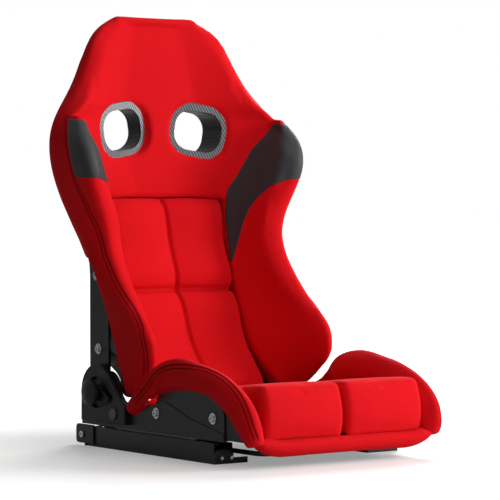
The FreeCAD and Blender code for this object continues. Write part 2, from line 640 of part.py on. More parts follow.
def side_bracket():
    """Upright plate with a round head at the recliner, a stepped lower panel and a foot flange."""
    x0 = BRACKET_INNER_X
    x1 = x0 + BRACKET_THICKNESS
    x2 = BRACKET_OUTER_X
    foot = [(BRACKET_REAR_Y, BRACKET_FLANGE_Z), (BRACKET_FRONT_Y, BRACKET_FLANGE_Z)]
    ear = [(BRACKET_FRONT_Y + y, BRACKET_EAR_HEIGHT - drop) for y, drop in BRACKET_EAR_ROUND]
    neck = [(PIVOT_Y - BRACKET_HEAD_RADIUS * BRACKET_NECK_SHARE, PIVOT_Z)]
    top = BRACKET_TOP_LINE + neck + BRACKET_TAIL_LINE
    plate = prism_x(foot + ear + [BRACKET_EAR_REAR] + top, x0, x1)
    panel = prism_x(foot + BRACKET_STEP_FRONT + top, x1, x2)
    head = rod_x(PIVOT_Y, PIVOT_Z, BRACKET_HEAD_RADIUS, x0, x2)
    flange = box(x2 - BRACKET_FLANGE_WIDTH, x2, BRACKET_FRONT_Y + BRACKET_FLANGE_INSET,
                 BRACKET_REAR_Y - BRACKET_FLANGE_INSET, BRACKET_FLANGE_Z, BRACKET_FLANGE_TOP)
    lug_x1 = HANDLE_ARM_X + HANDLE_ARM_THICKNESS / 2 + HANDLE_SIDE_GAP + HANDLE_LUG_THICKNESS
    lug_x0 = lug_x1 - HANDLE_LUG_THICKNESS
    lug_y0 = HANDLE_PIN_Y - HANDLE_LUG_LENGTH / 2
    lug_y1 = HANDLE_PIN_Y + HANDLE_LUG_LENGTH / 2
    lug = box(lug_x0, lug_x1, lug_y0, lug_y1, HANDLE_PIN_Z - HANDLE_LUG_DROP, BRACKET_FLANGE_TOP)
    web = box(lug_x0, x2 - BRACKET_FLANGE_WIDTH + 1.0, lug_y0, lug_y1, BRACKET_FLANGE_Z,
              BRACKET_FLANGE_TOP)
    bracket = plate.fuse([panel, head, flange, lug, web])
    holes = [
        rod_x(BASE_BOLT_FRONT_Y, BASE_BOLT_FRONT_Z, BOLT_SHANK_RADIUS, x0 - 1, x2 + 1),
        rod_x(BASE_BOLT_REAR_Y, BASE_BOLT_REAR_Z, BOLT_SHANK_RADIUS, x0 - 1, x2 + 1),
        rod_x(PIVOT_Y, PIVOT_Z, HUB_BOSS_RADIUS, x0 - 1, x2 + 1),
        rod_x(HANDLE_PIN_Y, HANDLE_PIN_Z, HANDLE_PIN_RADIUS, lug_x0 - 1, lug_x1 + 1),
    ]
    for y in rail_bolt_places():
        holes.append(rod_z(RAIL_CENTRE_X, y, RAIL_BOLT_RADIUS, BRACKET_FLANGE_Z - 1,
                           BRACKET_FLANGE_TOP - RAIL_BOLT_SINK))
        holes.append(Part.makeCone(RAIL_BOLT_RADIUS, RAIL_BOLT_HEAD_RADIUS, RAIL_BOLT_SINK,
                                   point(RAIL_CENTRE_X, y, BRACKET_FLANGE_TOP - RAIL_BOLT_SINK)))
    return bracket.cut(Part.makeCompound(holes)).removeSplitter()


def base_bolts():
    inner = BRACKET_INNER_X - SHELL_WALL - INSERT_LENGTH
    front_face = BRACKET_INNER_X + BRACKET_THICKNESS
    return [socket_bolt(BASE_BOLT_FRONT_Y, BASE_BOLT_FRONT_Z, front_face, inner),
            socket_bolt(BASE_BOLT_REAR_Y, BASE_BOLT_REAR_Z, BRACKET_OUTER_X, inner)]


def base_inserts():
    x1 = BRACKET_INNER_X - SHELL_WALL
    return [threaded_insert(BASE_BOLT_FRONT_Y, BASE_BOLT_FRONT_Z, x1),
            threaded_insert(BASE_BOLT_REAR_Y, BASE_BOLT_REAR_Z, x1)]


# Recliner

GEAR_DISC_X1 = HUB_INNER_X - 0.5
GEAR_DISC_X0 = GEAR_DISC_X1 - GEAR_DISC_THICKNESS


def toothed_disc(teeth, tip_radius, root_radius, x0, x1):
    """Disc along X whose trapezoid teeth run between the root and the tip radius."""
    corners = []
    pitch = 2 * math.pi / teeth
    for index in range(teeth):
        base = index * pitch
        for share, radius in ((0.0, root_radius), (0.30, root_radius), (0.42, tip_radius),
                              (0.88, tip_radius)):
            angle = base + share * pitch
            corners.append((PIVOT_Y + radius * math.cos(angle), PIVOT_Z + radius * math.sin(angle)))
    return prism_x(corners, x0, x1)


def hub_ring():
    """Fixed hub: a disc through the arm, a toothed cavity, and a boss for the gear and spring."""
    disc = rod_x(PIVOT_Y, PIVOT_Z, HUB_RADIUS, HUB_INNER_X, BRACKET_INNER_X)
    root = RING_TIP_RADIUS + TOOTH_HEIGHT
    cavity_end = HUB_INNER_X + HUB_CAVITY_DEPTH
    cavity = toothed_disc(RING_TEETH, root, RING_TIP_RADIUS, HUB_INNER_X - 1, cavity_end)
    boss = rod_x(PIVOT_Y, PIVOT_Z, HUB_BOSS_RADIUS, HUB_BOSS_END_X, BRACKET_OUTER_X)
    bore = rod_x(PIVOT_Y, PIVOT_Z, RELEASE_TUBE_RADIUS + HUB_FIT, HUB_BOSS_END_X - 1,
                 BRACKET_OUTER_X + 1)
    return disc.cut(cavity).fuse(boss).cut(bore).removeSplitter()


def hub_gear():
    """Gear cup welded to the arm: toothed boss, disc, and the rim that meets the arm."""
    root = GEAR_TIP_RADIUS - TOOTH_HEIGHT
    gear = toothed_disc(GEAR_TEETH, GEAR_TIP_RADIUS, root, GEAR_DISC_X0 + 1,
                        HUB_INNER_X + HUB_CAVITY_DEPTH - 0.5)
    disc = rod_x(PIVOT_Y, PIVOT_Z, GEAR_DISC_RADIUS, GEAR_DISC_X0, GEAR_DISC_X1)
    rim = rod_x(PIVOT_Y, PIVOT_Z, GEAR_DISC_RADIUS, GEAR_DISC_X1 - 1, ARM_INNER_X)
    rim = rim.cut(rod_x(PIVOT_Y, PIVOT_Z, GEAR_RIM_INNER_RADIUS, GEAR_DISC_X1 - 2, ARM_INNER_X + 1))
    bore = rod_x(PIVOT_Y, PIVOT_Z, HUB_BOSS_RADIUS + HUB_FIT, GEAR_DISC_X0 - 1,
                 BRACKET_INNER_X)
    post_reach = GEAR_DISC_RADIUS - SPRING_POST_RADIUS - SPRING_POST_EDGE
    post_y = PIVOT_Y + post_reach * math.cos(SPRING_POST_ANGLE)
    post_z = PIVOT_Z + post_reach * math.sin(SPRING_POST_ANGLE)
    post = rod_x(post_y, post_z, SPRING_POST_RADIUS, GEAR_DISC_X0 - SPRING_WIDTH - 1.0, GEAR_DISC_X0 + 1)
    return disc.fuse([rim, gear, post]).cut(bore).removeSplitter()


def return_spring():
    """Flat spiral spring round the hub boss, drawn as half turns of growing radius."""
    x0 = GEAR_DISC_X0 - SPRING_WIDTH - 0.8
    inner_edges = []
    outer_edges = []
    radius = HUB_BOSS_RADIUS
    centre = PIVOT_Y
    side = 1
    for index in range(2 * SPRING_TURNS):
        start = point(x0, centre + side * radius, PIVOT_Z)
        top = point(x0, centre, PIVOT_Z + side * radius)
        end = point(x0, centre - side * radius, PIVOT_Z)
        inner_edges.append(arc(start, top, end))
        start_o = point(x0, centre + side * (radius + SPRING_STRIP), PIVOT_Z)
        top_o = point(x0, centre, PIVOT_Z + side * (radius + SPRING_STRIP))
        end_o = point(x0, centre - side * (radius + SPRING_STRIP), PIVOT_Z)
        outer_edges.append(arc(start_o, top_o, end_o))
        radius += SPRING_PITCH / 2
        centre += side * SPRING_PITCH / 2
        side = -side
    first_cap = line(inner_edges[0].firstVertex().Point, outer_edges[0].firstVertex().Point)
    last_cap = line(inner_edges[-1].lastVertex().Point, outer_edges[-1].lastVertex().Point)
    loop = Part.__sortEdges__(inner_edges + [last_cap] + outer_edges + [first_cap])
    face = Part.Face(Part.Wire(loop))
    return face.extrude(point(SPRING_WIDTH, 0, 0))


def recliner_arm():
    """Steel arm from the hub up the side of the back shell."""
    x0 = ARM_INNER_X
    x1 = x0 + ARM_THICKNESS
    r = ARM_CORNER_RADIUS
    k = r * (1 - math.sqrt(0.5))
    top = ARM_TOP_Z
    rear_foot_y = PIVOT_Y + ARM_FOOT_RADIUS
    edges = [
        line(point(x0, rear_foot_y, PIVOT_Z), point(x0, ARM_REAR_Y, ARM_TAPER_Z)),
        line(point(x0, ARM_REAR_Y, ARM_TAPER_Z), point(x0, ARM_REAR_Y, top - r)),
        arc(point(x0, ARM_REAR_Y, top - r), point(x0, ARM_REAR_Y - k, top - k),
            point(x0, ARM_REAR_Y - r, top)),
        line(point(x0, ARM_REAR_Y - r, top), point(x0, ARM_FRONT_Y + r, top)),
        arc(point(x0, ARM_FRONT_Y + r, top), point(x0, ARM_FRONT_Y + k, top - k),
            point(x0, ARM_FRONT_Y, top - r)),
        line(point(x0, ARM_FRONT_Y, top - r), point(x0, ARM_FRONT_Y, PIVOT_Z)),
        line(point(x0, ARM_FRONT_Y, PIVOT_Z), point(x0, rear_foot_y, PIVOT_Z)),
    ]
    blade = Part.Face(Part.Wire(edges)).extrude(point(ARM_THICKNESS, 0, 0))
    foot = rod_x(PIVOT_Y, PIVOT_Z, ARM_FOOT_RADIUS, x0, x1)
    holes = [
        rod_x(PIVOT_Y, PIVOT_Z, HUB_RADIUS + HUB_FIT, x0 - 1, x1 + 1),
        rod_x(ARM_BOLT_UPPER_Y, ARM_BOLT_UPPER_Z, BOLT_SHANK_RADIUS, x0 - 1, x1 + 1),
        rod_x(ARM_BOLT_LOWER_Y, ARM_BOLT_LOWER_Z, BOLT_SHANK_RADIUS, x0 - 1, x1 + 1),
    ]
    return blade.fuse(foot).cut(Part.makeCompound(holes)).removeSplitter()


def arm_bolts():
    inner = ARM_INNER_X - SHELL_WALL - INSERT_LENGTH
    face = ARM_INNER_X + ARM_THICKNESS
    return [socket_bolt(ARM_BOLT_UPPER_Y, ARM_BOLT_UPPER_Z, face, inner),
            socket_bolt(ARM_BOLT_LOWER_Y, ARM_BOLT_LOWER_Z, face, inner)]


def arm_inserts(shell):
    """Inserts behind the shell wall, trimmed to the wall where it starts to curve."""
    x1 = ARM_INNER_X - SHELL_WALL
    return [threaded_insert(ARM_BOLT_UPPER_Y, ARM_BOLT_UPPER_Z, x1).cut(shell),
            threaded_insert(ARM_BOLT_LOWER_Y, ARM_BOLT_LOWER_Z, x1).cut(shell)]


# Cover, dial, lever

COVER_X0 = BRACKET_OUTER_X
COVER_X1 = COVER_X0 + COVER_DEPTH
WELL_X = COVER_X1 - WELL_DEPTH
LEVER_X0 = COVER_X1 + LEVER_GAP
LEVER_X1 = LEVER_X0 + LEVER_THICKNESS
DIAL_X0 = LEVER_X1 + LEVER_GAP


def cover_outline(x, inset):
    """Wire round the cover: a round top about the pivot and a nose at the front bottom."""
    radius = COVER_RADIUS - inset
    bottom = COVER_BOTTOM_Z + inset
    nose_y = COVER_NOSE_Y + inset
    distance = math.hypot(PIVOT_Y - nose_y, PIVOT_Z - COVER_NOSE_Z)
    lean = math.atan2(COVER_NOSE_Z - PIVOT_Z, nose_y - PIVOT_Y)
    tangent = lean - math.acos(radius / distance)
    start = point(x, PIVOT_Y + radius, PIVOT_Z)
    middle_angle = (tangent + 2 * math.pi) / 2
    middle = point(x, PIVOT_Y + radius * math.cos(middle_angle),
                   PIVOT_Z + radius * math.sin(middle_angle))
    end = point(x, PIVOT_Y + radius * math.cos(tangent), PIVOT_Z + radius * math.sin(tangent))
    nose_top = point(x, nose_y, COVER_NOSE_Z)
    nose_bottom = point(x, nose_y, bottom)
    rear_bottom = point(x, PIVOT_Y + radius, bottom)
    return Part.Wire([arc(start, middle, end), line(end, nose_top), line(nose_top, nose_bottom),
                      line(nose_bottom, rear_bottom), line(rear_bottom, start)])


def well_shape(x0, x1, grow):
    """Round well about the pivot with a tapered tail towards the front for the lever."""
    radius = WELL_RADIUS + grow
    tail = WELL_TAIL_RADIUS + grow
    gap = math.hypot(WELL_TAIL_Y - PIVOT_Y, WELL_TAIL_Z - PIVOT_Z)
    axis = math.atan2(WELL_TAIL_Z - PIVOT_Z, WELL_TAIL_Y - PIVOT_Y)
    half = math.acos((radius - tail) / gap)
    corners = []
    for centre_y, centre_z, r, angle in (
            (PIVOT_Y, PIVOT_Z, radius, axis + half), (WELL_TAIL_Y, WELL_TAIL_Z, tail, axis + half),
            (WELL_TAIL_Y, WELL_TAIL_Z, tail, axis - half), (PIVOT_Y, PIVOT_Z, radius, axis - half)):
        corners.append((centre_y + r * math.cos(angle), centre_z + r * math.sin(angle)))
    return prism_x(corners, x0, x1).fuse([rod_x(PIVOT_Y, PIVOT_Z, radius, x0, x1),
                                          rod_x(WELL_TAIL_Y, WELL_TAIL_Z, tail, x0, x1)])


def recliner_cover():
    """Moulded cover, hollow behind, with a dished well for the dial and the lever."""
    body = Part.Face(cover_outline(COVER_X0, 0)).extrude(point(COVER_DEPTH, 0, 0))
    rim = [e for e in body.Edges if e.CenterOfMass.x > COVER_X1 - 0.01]
    body = body.makeFillet(COVER_EDGE, rim)
    hollow = Part.Face(cover_outline(COVER_X0 - 1, COVER_WALL)).extrude(
        point(COVER_DEPTH + 1 - COVER_WALL, 0, 0))
    cup = well_shape(COVER_X0 + 0.5, COVER_X1, COVER_WALL)
    body = body.cut(hollow.cut(cup))
    body = body.cut(well_shape(WELL_X, COVER_X1 + 1, 0))
    body = body.cut(rod_x(PIVOT_Y, PIVOT_Z, HUB_BOSS_RADIUS + 1.0, COVER_X0 - 1, WELL_X + 1))
    body = body.cut(rod_x(PIVOT_Y, PIVOT_Z, WELL_RADIUS - 2.0, COVER_X0 - 1, WELL_X - COVER_WALL))
    seat = rod_x(COVER_CAP_Y, COVER_CAP_Z, COVER_CAP_STEM_RADIUS, COVER_X0 - 1, COVER_X1 + 1)
    return body.cut(seat).removeSplitter()


def cover_cap():
    """Round push-in cap at the front of the cover."""
    stem = rod_x(COVER_CAP_Y, COVER_CAP_Z, COVER_CAP_STEM_RADIUS, COVER_X0 + COVER_WALL, COVER_X1 + 0.5)
    disc = rod_x(COVER_CAP_Y, COVER_CAP_Z, COVER_CAP_RADIUS, COVER_X1, COVER_X1 + COVER_CAP_THICKNESS)
    rim = [e for e in disc.Edges if e.CenterOfMass.x > COVER_X1 + COVER_CAP_THICKNESS - 0.1]
    return disc.makeFillet(COVER_CAP_EDGE, rim).fuse(stem).removeSplitter()


def release_lever():
    """Paddle lever on the release tube, behind the dial."""
    angle = math.radians(180.0 + LEVER_DROP_DEG)
    tip_y = PIVOT_Y + LEVER_LENGTH * math.cos(angle)
    tip_z = PIVOT_Z + LEVER_LENGTH * math.sin(angle)
    hub = rod_x(PIVOT_Y, PIVOT_Z, LEVER_HUB_RADIUS, LEVER_X0, LEVER_X1)
    tip = rod_x(tip_y, tip_z, LEVER_TIP_RADIUS, LEVER_X0, LEVER_X1)
    half = math.acos((LEVER_HUB_RADIUS - LEVER_TIP_RADIUS) / LEVER_LENGTH)
    corners = []
    hub_round = (PIVOT_Y, PIVOT_Z, LEVER_HUB_RADIUS)
    tip_round = (tip_y, tip_z, LEVER_TIP_RADIUS)
    for (centre_y, centre_z, r), turn in ((hub_round, angle + half), (tip_round, angle + half),
                                          (tip_round, angle - half), (hub_round, angle - half)):
        corners.append((centre_y + r * math.cos(turn), centre_z + r * math.sin(turn)))
    body = hub.fuse([tip, prism_x(corners, LEVER_X0, LEVER_X1)]).removeSplitter()
    rim = [e for e in body.Edges if e.CenterOfMass.x > LEVER_X1 - 0.01]
    body = body.makeFillet(LEVER_EDGE, rim)
    bore = rod_x(PIVOT_Y, PIVOT_Z, RELEASE_TUBE_RADIUS, LEVER_X0 - 1, LEVER_X1 + 1)
    return body.cut(bore)


def release_tube():
    """Cross tube that joins the two levers, hollow for the dial shaft."""
    half = LEVER_X1
    tube = rod_x(PIVOT_Y, PIVOT_Z, RELEASE_TUBE_RADIUS, -half, half)
    return tube.cut(rod_x(PIVOT_Y, PIVOT_Z, RELEASE_TUBE_RADIUS - RELEASE_TUBE_WALL, -half - 1, half + 1))


def dial():
    """Domed dial with a fluted rim and a neck that clears the lever."""
    neck_end = DIAL_X0 + DIAL_NECK_LENGTH
    neck = rod_x(PIVOT_Y, PIVOT_Z, DIAL_NECK_RADIUS, DIAL_X0, neck_end)
    rim_end = neck_end + DIAL_RIM
    rim = rod_x(PIVOT_Y, PIVOT_Z, DIAL_RADIUS, neck_end, rim_end)
    crown = DIAL_DOME_HEIGHT - DIAL_RIM
    sphere_radius = (DIAL_RADIUS ** 2 + crown ** 2) / (2 * crown)
    sphere = Part.makeSphere(sphere_radius, point(rim_end + crown - sphere_radius, PIVOT_Y, PIVOT_Z))
    dome = sphere.common(rod_x(PIVOT_Y, PIVOT_Z, DIAL_RADIUS, rim_end - 0.5, rim_end + crown + 1))
    flutes = []
    for index in range(DIAL_FLUTES):
        angle = 2 * math.pi * index / DIAL_FLUTES
        reach = DIAL_RADIUS + DIAL_FLUTE_REACH
        flutes.append(rod_x(PIVOT_Y + reach * math.cos(angle), PIVOT_Z + reach * math.sin(angle),
                            DIAL_FLUTE_RADIUS, neck_end - 1, rim_end + crown + 1))
    knob = rim.fuse(dome).cut(Part.makeCompound(flutes))
    bore = rod_x(PIVOT_Y, PIVOT_Z, SHAFT_RADIUS, DIAL_X0 - 1, neck_end + DIAL_SHAFT_SEAT)
    return neck.fuse(knob).cut(bore).removeSplitter()


def dial_shaft():
    """Shaft that turns both recliner hubs together, inside the release tube."""
    half = DIAL_X0 + DIAL_NECK_LENGTH + DIAL_SHAFT_SEAT
    return rod_x(PIVOT_Y, PIVOT_Z, SHAFT_RADIUS, -half, half)


# Slide lock handle


def handle_bar():
    """U-shaped tube: two arms along the rails and a grip bar across the front."""
    r = HANDLE_BEND_RADIUS
    k = r * (1 - math.sqrt(0.5))
    x = HANDLE_ARM_X
    y = HANDLE_BAR_Y
    z = HANDLE_BAR_Z
    rear = HANDLE_PIN_Y - HANDLE_END_REACH
    path = Part.Wire([
        line(point(-x, rear, z), point(-x, y + r, z)),
        arc(point(-x, y + r, z), point(-x + k, y + k, z), point(-x + r, y, z)),
        line(point(-x + r, y, z), point(x - r, y, z)),
        arc(point(x - r, y, z), point(x - k, y + k, z), point(x, y + r, z)),
        line(point(x, y + r, z), point(x, rear, z)),
    ])
    outer = Part.Wire(Part.makeCircle(HANDLE_TUBE_RADIUS, point(-x, rear, z), point(0, 1, 0)))
    inner = Part.Wire(Part.makeCircle(HANDLE_TUBE_RADIUS - HANDLE_TUBE_WALL, point(-x, rear, z),
                                      point(0, 1, 0)))
    return path.makePipeShell([outer], True, False).cut(path.makePipeShell([inner], True, False))


def lock_arm():
    """Flat arm on the handle pin, with teeth that stand in front of the rail windows."""
    half = HANDLE_ARM_THICKNESS / 2
    x0 = HANDLE_ARM_X - half
    x1 = HANDLE_ARM_X + half
    front = HANDLE_PIN_Y - HANDLE_END_REACH
    rear = PAWL_Y + LOCK_PITCH * (PAWL_TEETH - 1) / 2 + LOCK_WINDOW_LENGTH
    blade = box(x0, x1, front, rear, HANDLE_PIN_Z - LOCK_ARM_HEIGHT / 2,
                HANDLE_PIN_Z + LOCK_ARM_HEIGHT / 2)
    tooth = LOCK_WINDOW_LENGTH / 2 - LOCK_TOOTH_PLAY
    teeth = []
    first = PAWL_Y - LOCK_PITCH * (PAWL_TEETH - 1) / 2
    for index in range(PAWL_TEETH):
        middle = first + index * LOCK_PITCH
        teeth.append(box(x1 - 0.5, RAIL_INNER_X - LOCK_TOOTH_GAP, middle - tooth, middle + tooth,
                         LOCK_WINDOW_Z - LOCK_TOOTH_HEIGHT / 2, LOCK_WINDOW_Z + LOCK_TOOTH_HEIGHT / 2))
    bore = rod_x(HANDLE_PIN_Y, HANDLE_PIN_Z, HANDLE_PIN_RADIUS + HUB_FIT, x0 - 1, x1 + 1)
    mouth = front + 3.0 - LOCK_SOCKET_LENGTH
    socket = rod_y(HANDLE_ARM_X, HANDLE_BAR_Z, HANDLE_TUBE_RADIUS + LOCK_SOCKET_WALL, mouth, front + 3.0)
    tube = rod_y(HANDLE_ARM_X, HANDLE_BAR_Z, HANDLE_TUBE_RADIUS, mouth - 1.0, front)
    return blade.fuse([socket] + teeth).cut(bore).cut(tube)


def handle_pin():
    """Shouldered pin that carries the lock arm on the bracket lug."""
    half = HANDLE_ARM_THICKNESS / 2
    inner = HANDLE_ARM_X - half - HANDLE_SIDE_GAP
    lug_x1 = HANDLE_ARM_X + half + HANDLE_SIDE_GAP + HANDLE_LUG_THICKNESS
    pin = rod_x(HANDLE_PIN_Y, HANDLE_PIN_Z, HANDLE_PIN_RADIUS, inner - 0.5, lug_x1)
    head = rod_x(HANDLE_PIN_Y, HANDLE_PIN_Z, HANDLE_PIN_RADIUS + HANDLE_PIN_HEAD,
                 inner - HANDLE_PIN_HEAD_LENGTH, inner)
    return pin.fuse(head)


# Base shell and its cushions


def base_shell(bolster):
    """Moulded tub under the bolsters: floor, two side walls and a front lip."""
    floor_z = BRACKET_FLANGE_TOP
    wall = SHELL_WALL
    side = [(BASE_SHELL_REAR_Y, floor_z), (BASE_SHELL_FRONT_Y + BASE_LIP_SLANT + 2.0, floor_z),
            (BASE_SHELL_FRONT_Y + BASE_LIP_SLANT, BASE_SHELL_LIP_Z),
            (BASE_SHELL_FRONT_Y, BASE_SHELL_LIP_Z), (BASE_SHELL_FRONT_Y, floor_z + wall)]
    for row in reversed(BOLSTER_STATIONS[2:-2]):
        side.append((row[2], row[3] + BASE_WALL_RISE))
    side += BASE_WALL_REAR + [(BASE_SHELL_REAR_Y, BASE_REAR_WALL_Z)]
    outer = prism_x(side, -BRACKET_INNER_X, BRACKET_INNER_X)
    rim_z = max(row[1] for row in BOLSTER_STATIONS) + 1.0
    well = [(BASE_SHELL_REAR_Y - wall, floor_z + wall), (BASE_SHELL_FRONT_Y - 1, floor_z + wall),
            (BASE_SHELL_FRONT_Y - 1, rim_z), (BASE_SHELL_REAR_Y - wall, rim_z)]
    inner = prism_x(well, -BRACKET_INNER_X + wall, BRACKET_INNER_X - wall)
    shell = outer.cut(inner)
    corner = box(LIP_SHELL_HALF, BRACKET_INNER_X + 1, BASE_SHELL_FRONT_Y - 1, BASE_SHELL_FRONT_Y + 15.0,
                 0, floor_z)
    cuts = [bolster, mirrored(bolster), corner, mirrored(corner)]
    for y, z in ((BASE_BOLT_FRONT_Y, BASE_BOLT_FRONT_Z), (BASE_BOLT_REAR_Y, BASE_BOLT_REAR_Z)):
        cuts.append(rod_x(y, z, BOLT_SHANK_RADIUS, -BRACKET_INNER_X - 1, BRACKET_INNER_X + 1))
    for cutter in cuts:
        shell = shell.cut(cutter)
    return shell


def bolster_section(row):
    """Closed outline across the bolster at one station of its arched run."""
    top_y, top_z, low_y, low_z, inner_x, outer_x, drop = row
    width = outer_x - inner_x
    crest_width = min(width, BOLSTER_CREST_WIDTH)
    height = math.hypot(top_y - low_y, top_z - low_z)

    def place(x, share):
        return point(x, low_y + share * (top_y - low_y), low_z + share * (top_z - low_z))

    ridge_x = outer_x - 0.30 * crest_width
    inner_low = place(inner_x, -drop / height)
    inner_mid = place(inner_x + 0.12 * width, 0.45)
    inner_high = place(ridge_x - 0.25 * crest_width, 0.93)
    crest = place(ridge_x, 1.0)
    outer_high = place(outer_x - 0.06 * crest_width, 0.84)
    outer_mid = place(outer_x, 0.45)
    outer_low = place(outer_x - 0.12 * crest_width, 0.0)
    return Part.Wire([arc(inner_low, inner_mid, inner_high), arc(inner_high, crest, outer_high),
                      arc(outer_high, outer_mid, outer_low), line(outer_low, inner_low)])


def seat_bolster():
    return loft([bolster_section(row) for row in BOLSTER_STATIONS])


def thigh_section(x, inset):
    """Side view of a thigh pad at one X, smaller all round by the inset."""
    floor_z = BRACKET_FLANGE_TOP + SHELL_WALL
    front = THIGH_PAD_FRONT_Y + inset
    rear = THIGH_PAD_REAR_Y
    top = THIGH_PAD_TOP_Z - inset
    rear_top = top - THIGH_PAD_DROP
    middle_z = (floor_z + top) / 2
    r = THIGH_PAD_CORNER
    return Part.Wire([
        arc(point(x, front + THIGH_FRONT_LEAN, floor_z), point(x, front, middle_z),
            point(x, front + r, top - r)),
        arc(point(x, front + r, top - r),
            point(x, front + r + THIGH_NOSE_DROP, top - THIGH_NOSE_DROP),
            point(x, front + 2 * r, top - 0.5)),
        arc(point(x, front + 2 * r, top - 0.5), point(x, (front + rear) / 2, top - THIGH_PAD_CROWN),
            point(x, rear, rear_top)),
        line(point(x, rear, rear_top), point(x, rear, floor_z)),
        line(point(x, rear, floor_z), point(x, front + THIGH_FRONT_LEAN, floor_z)),
    ])


def thigh_pad():
    """Front half pad: a thick block with a crowned face and top and soft sides."""
    x0 = THIGH_PAD_GAP / 2
    x1 = x0 + THIGH_PAD_WIDTH
    rows = []
    for step in range(THIGH_SIDE_STEPS + 1):
        angle = math.pi / 2 * step / THIGH_SIDE_STEPS
        rows.append((x0 + THIGH_SIDE_RADIUS * (1 - math.cos(angle)),
                     THIGH_SIDE_RADIUS * (1 - math.sin(angle)) + THIGH_SIDE_DROP))
    rows.append(((x0 + x1) / 2 - THIGH_PAD_WIDTH * 0.2, 0.4))
    rows += [(x0 + x1 - x, inset) for x, inset in reversed(rows)]
    return Part.makeLoft([thigh_section(x, inset) for x, inset in rows], True, True)


def seat_cushion():
    """Dished base cushion between the thigh pads and the back pad."""
    floor_z = BRACKET_FLANGE_TOP + SHELL_WALL
    corner = SEAT_CUSHION_CORNER
    k = corner * (1 - math.sqrt(0.5))
    wires = []
    for y, top, half in SEAT_ROWS:
        shoulder = top + SEAT_CUSHION_DISH
        wires.append(Part.Wire([
            line(point(half, y, floor_z), point(half, y, shoulder - corner)),
            arc(point(half, y, shoulder - corner), point(half - k, y, shoulder - k),
                point(half - corner, y, shoulder)),
            arc(point(half - corner, y, shoulder), point(0, y, top), point(-half + corner, y, shoulder)),
            arc(point(-half + corner, y, shoulder), point(-half + k, y, shoulder - k),
                point(-half, y, shoulder - corner)),
            line(point(-half, y, shoulder - corner), point(-half, y, floor_z)),
            line(point(-half, y, floor_z), point(half, y, floor_z)),
        ]))
    return loft(wires)


def lip_section(x, low, high, front):
    """Outline of the lip roll at one X, from the shell's front wall to its round nose."""
    back = BASE_SHELL_FRONT_Y
    height = high - low
    depth = back - front
    low_y = front + 0.16 * depth
    low_z = low + 0.25 * height
    high_y = front + 0.2 * depth
    high_z = high - 0.18 * height
    return Part.Wire([
        arc(point(x, back, low), point(x, front + 0.5 * depth, low + 0.03 * height), point(x, low_y, low_z)),
        arc(point(x, low_y, low_z), point(x, front, low + 0.55 * height), point(x, high_y, high_z)),
        arc(point(x, high_y, high_z), point(x, front + 0.45 * depth, high - 0.04 * height),
            point(x, back, high)),
        line(point(x, back, high), point(x, back, low)),
    ])


def lip_roll():
    """Padded roll along the front lip of the base shell."""
    rows = [(-x, low, high, front) for x, low, high, front in reversed(LIP_STATIONS[1:])] + LIP_STATIONS
    return Part.makeLoft([lip_section(*row) for row in rows], True, True)


# Backrest shell and cushions


def shell_section(row, inset, forward):
    """D-shaped outline at one height: sides, round rear corners and a gently curved rear."""
    z, half, front_y, rear_y, corner = row
    half = half - inset
    rear_y = rear_y - inset
    corner = corner - inset
    front_y = front_y - forward
    flat = half - corner
    k = corner * (1 - math.sqrt(0.5))
    return Part.Wire([
        line(point(-half, front_y, z), point(-half, rear_y - corner, z)),
        arc(point(-half, rear_y - corner, z), point(-half + k, rear_y - k, z),
            point(-flat, rear_y, z)),
        line(point(-flat, rear_y, z), point(flat, rear_y, z)),
        arc(point(flat, rear_y, z), point(half - k, rear_y - k, z), point(half, rear_y - corner, z)),
        line(point(half, rear_y - corner, z), point(half, front_y, z)),
        line(point(half, front_y, z), point(-half, front_y, z)),
    ])


def harness_prism(grow, y0, y1):
    """Rounded block along Y at the +X opening, tilted up towards the seat's centre."""
    width = HARNESS_OPENING_WIDTH + 2 * grow
    height = HARNESS_OPENING_HEIGHT + 2 * grow
    face = Part.Face(rounded_rectangle(width, height, HARNESS_CORNER + grow, 0))
    block = face.extrude(point(0, y1 - y0, 0))
    block.rotate(point(0, 0, 0), point(0, 1, 0), HARNESS_TILT_DEG)
    block.translate(point(HARNESS_X, y0, HARNESS_Z))
    return block


def yawed(block):
    """Turn a block at the +X opening so that its outer side comes forward."""
    block.rotate(point(HARNESS_X, HARNESS_FACE_Y, HARNESS_Z), point(0, 0, 1), -HARNESS_YAW_DEG)
    return block


def harness_frame():
    """Front bezel on a sleeve that runs back to the rear face of the shell."""
    face = HARNESS_FACE_Y
    rim = yawed(harness_prism(HARNESS_RIM, face, face + HARNESS_LIP))
    front_edges = [e for e in rim.Edges if on_rim_front(e)]
    rim = rim.makeChamfer(HARNESS_CHAMFER, front_edges)
    reach = HARNESS_CUT_REACH
    rim = rim.cut(yawed(harness_prism(0.0, face - reach, face + reach)))
    sleeve = harness_prism(HARNESS_SLEEVE_WALL, face - HARNESS_SLEEVE_BLANK, HARNESS_BACK_Y)
    ahead = yawed(harness_prism(HARNESS_RIM, face - reach, face + HARNESS_LIP))
    sleeve = sleeve.cut(ahead).cut(harness_prism(HARNESS_STEP, face - reach, HARNESS_BACK_Y + 1))
    return rim.fuse(sleeve)


def on_rim_front(edge):
    """True where an edge lies on the front plane of the yawed bezel."""
    yaw = math.radians(HARNESS_YAW_DEG)
    middle = edge.CenterOfMass
    offset = (middle.x - HARNESS_X) * math.sin(yaw) + (middle.y - HARNESS_FACE_Y) * math.cos(yaw)
    return abs(offset) < 0.01


def harness_ring():
    """Rear trim ring round the end of the sleeve, on the outside of the shell."""
    ring = harness_prism(HARNESS_RING_MARGIN, HARNESS_BACK_Y - HARNESS_RING_THICKNESS, HARNESS_BACK_Y)
    return ring.cut(harness_prism(HARNESS_SLEEVE_WALL, HARNESS_FACE_Y, HARNESS_BACK_Y + 1))


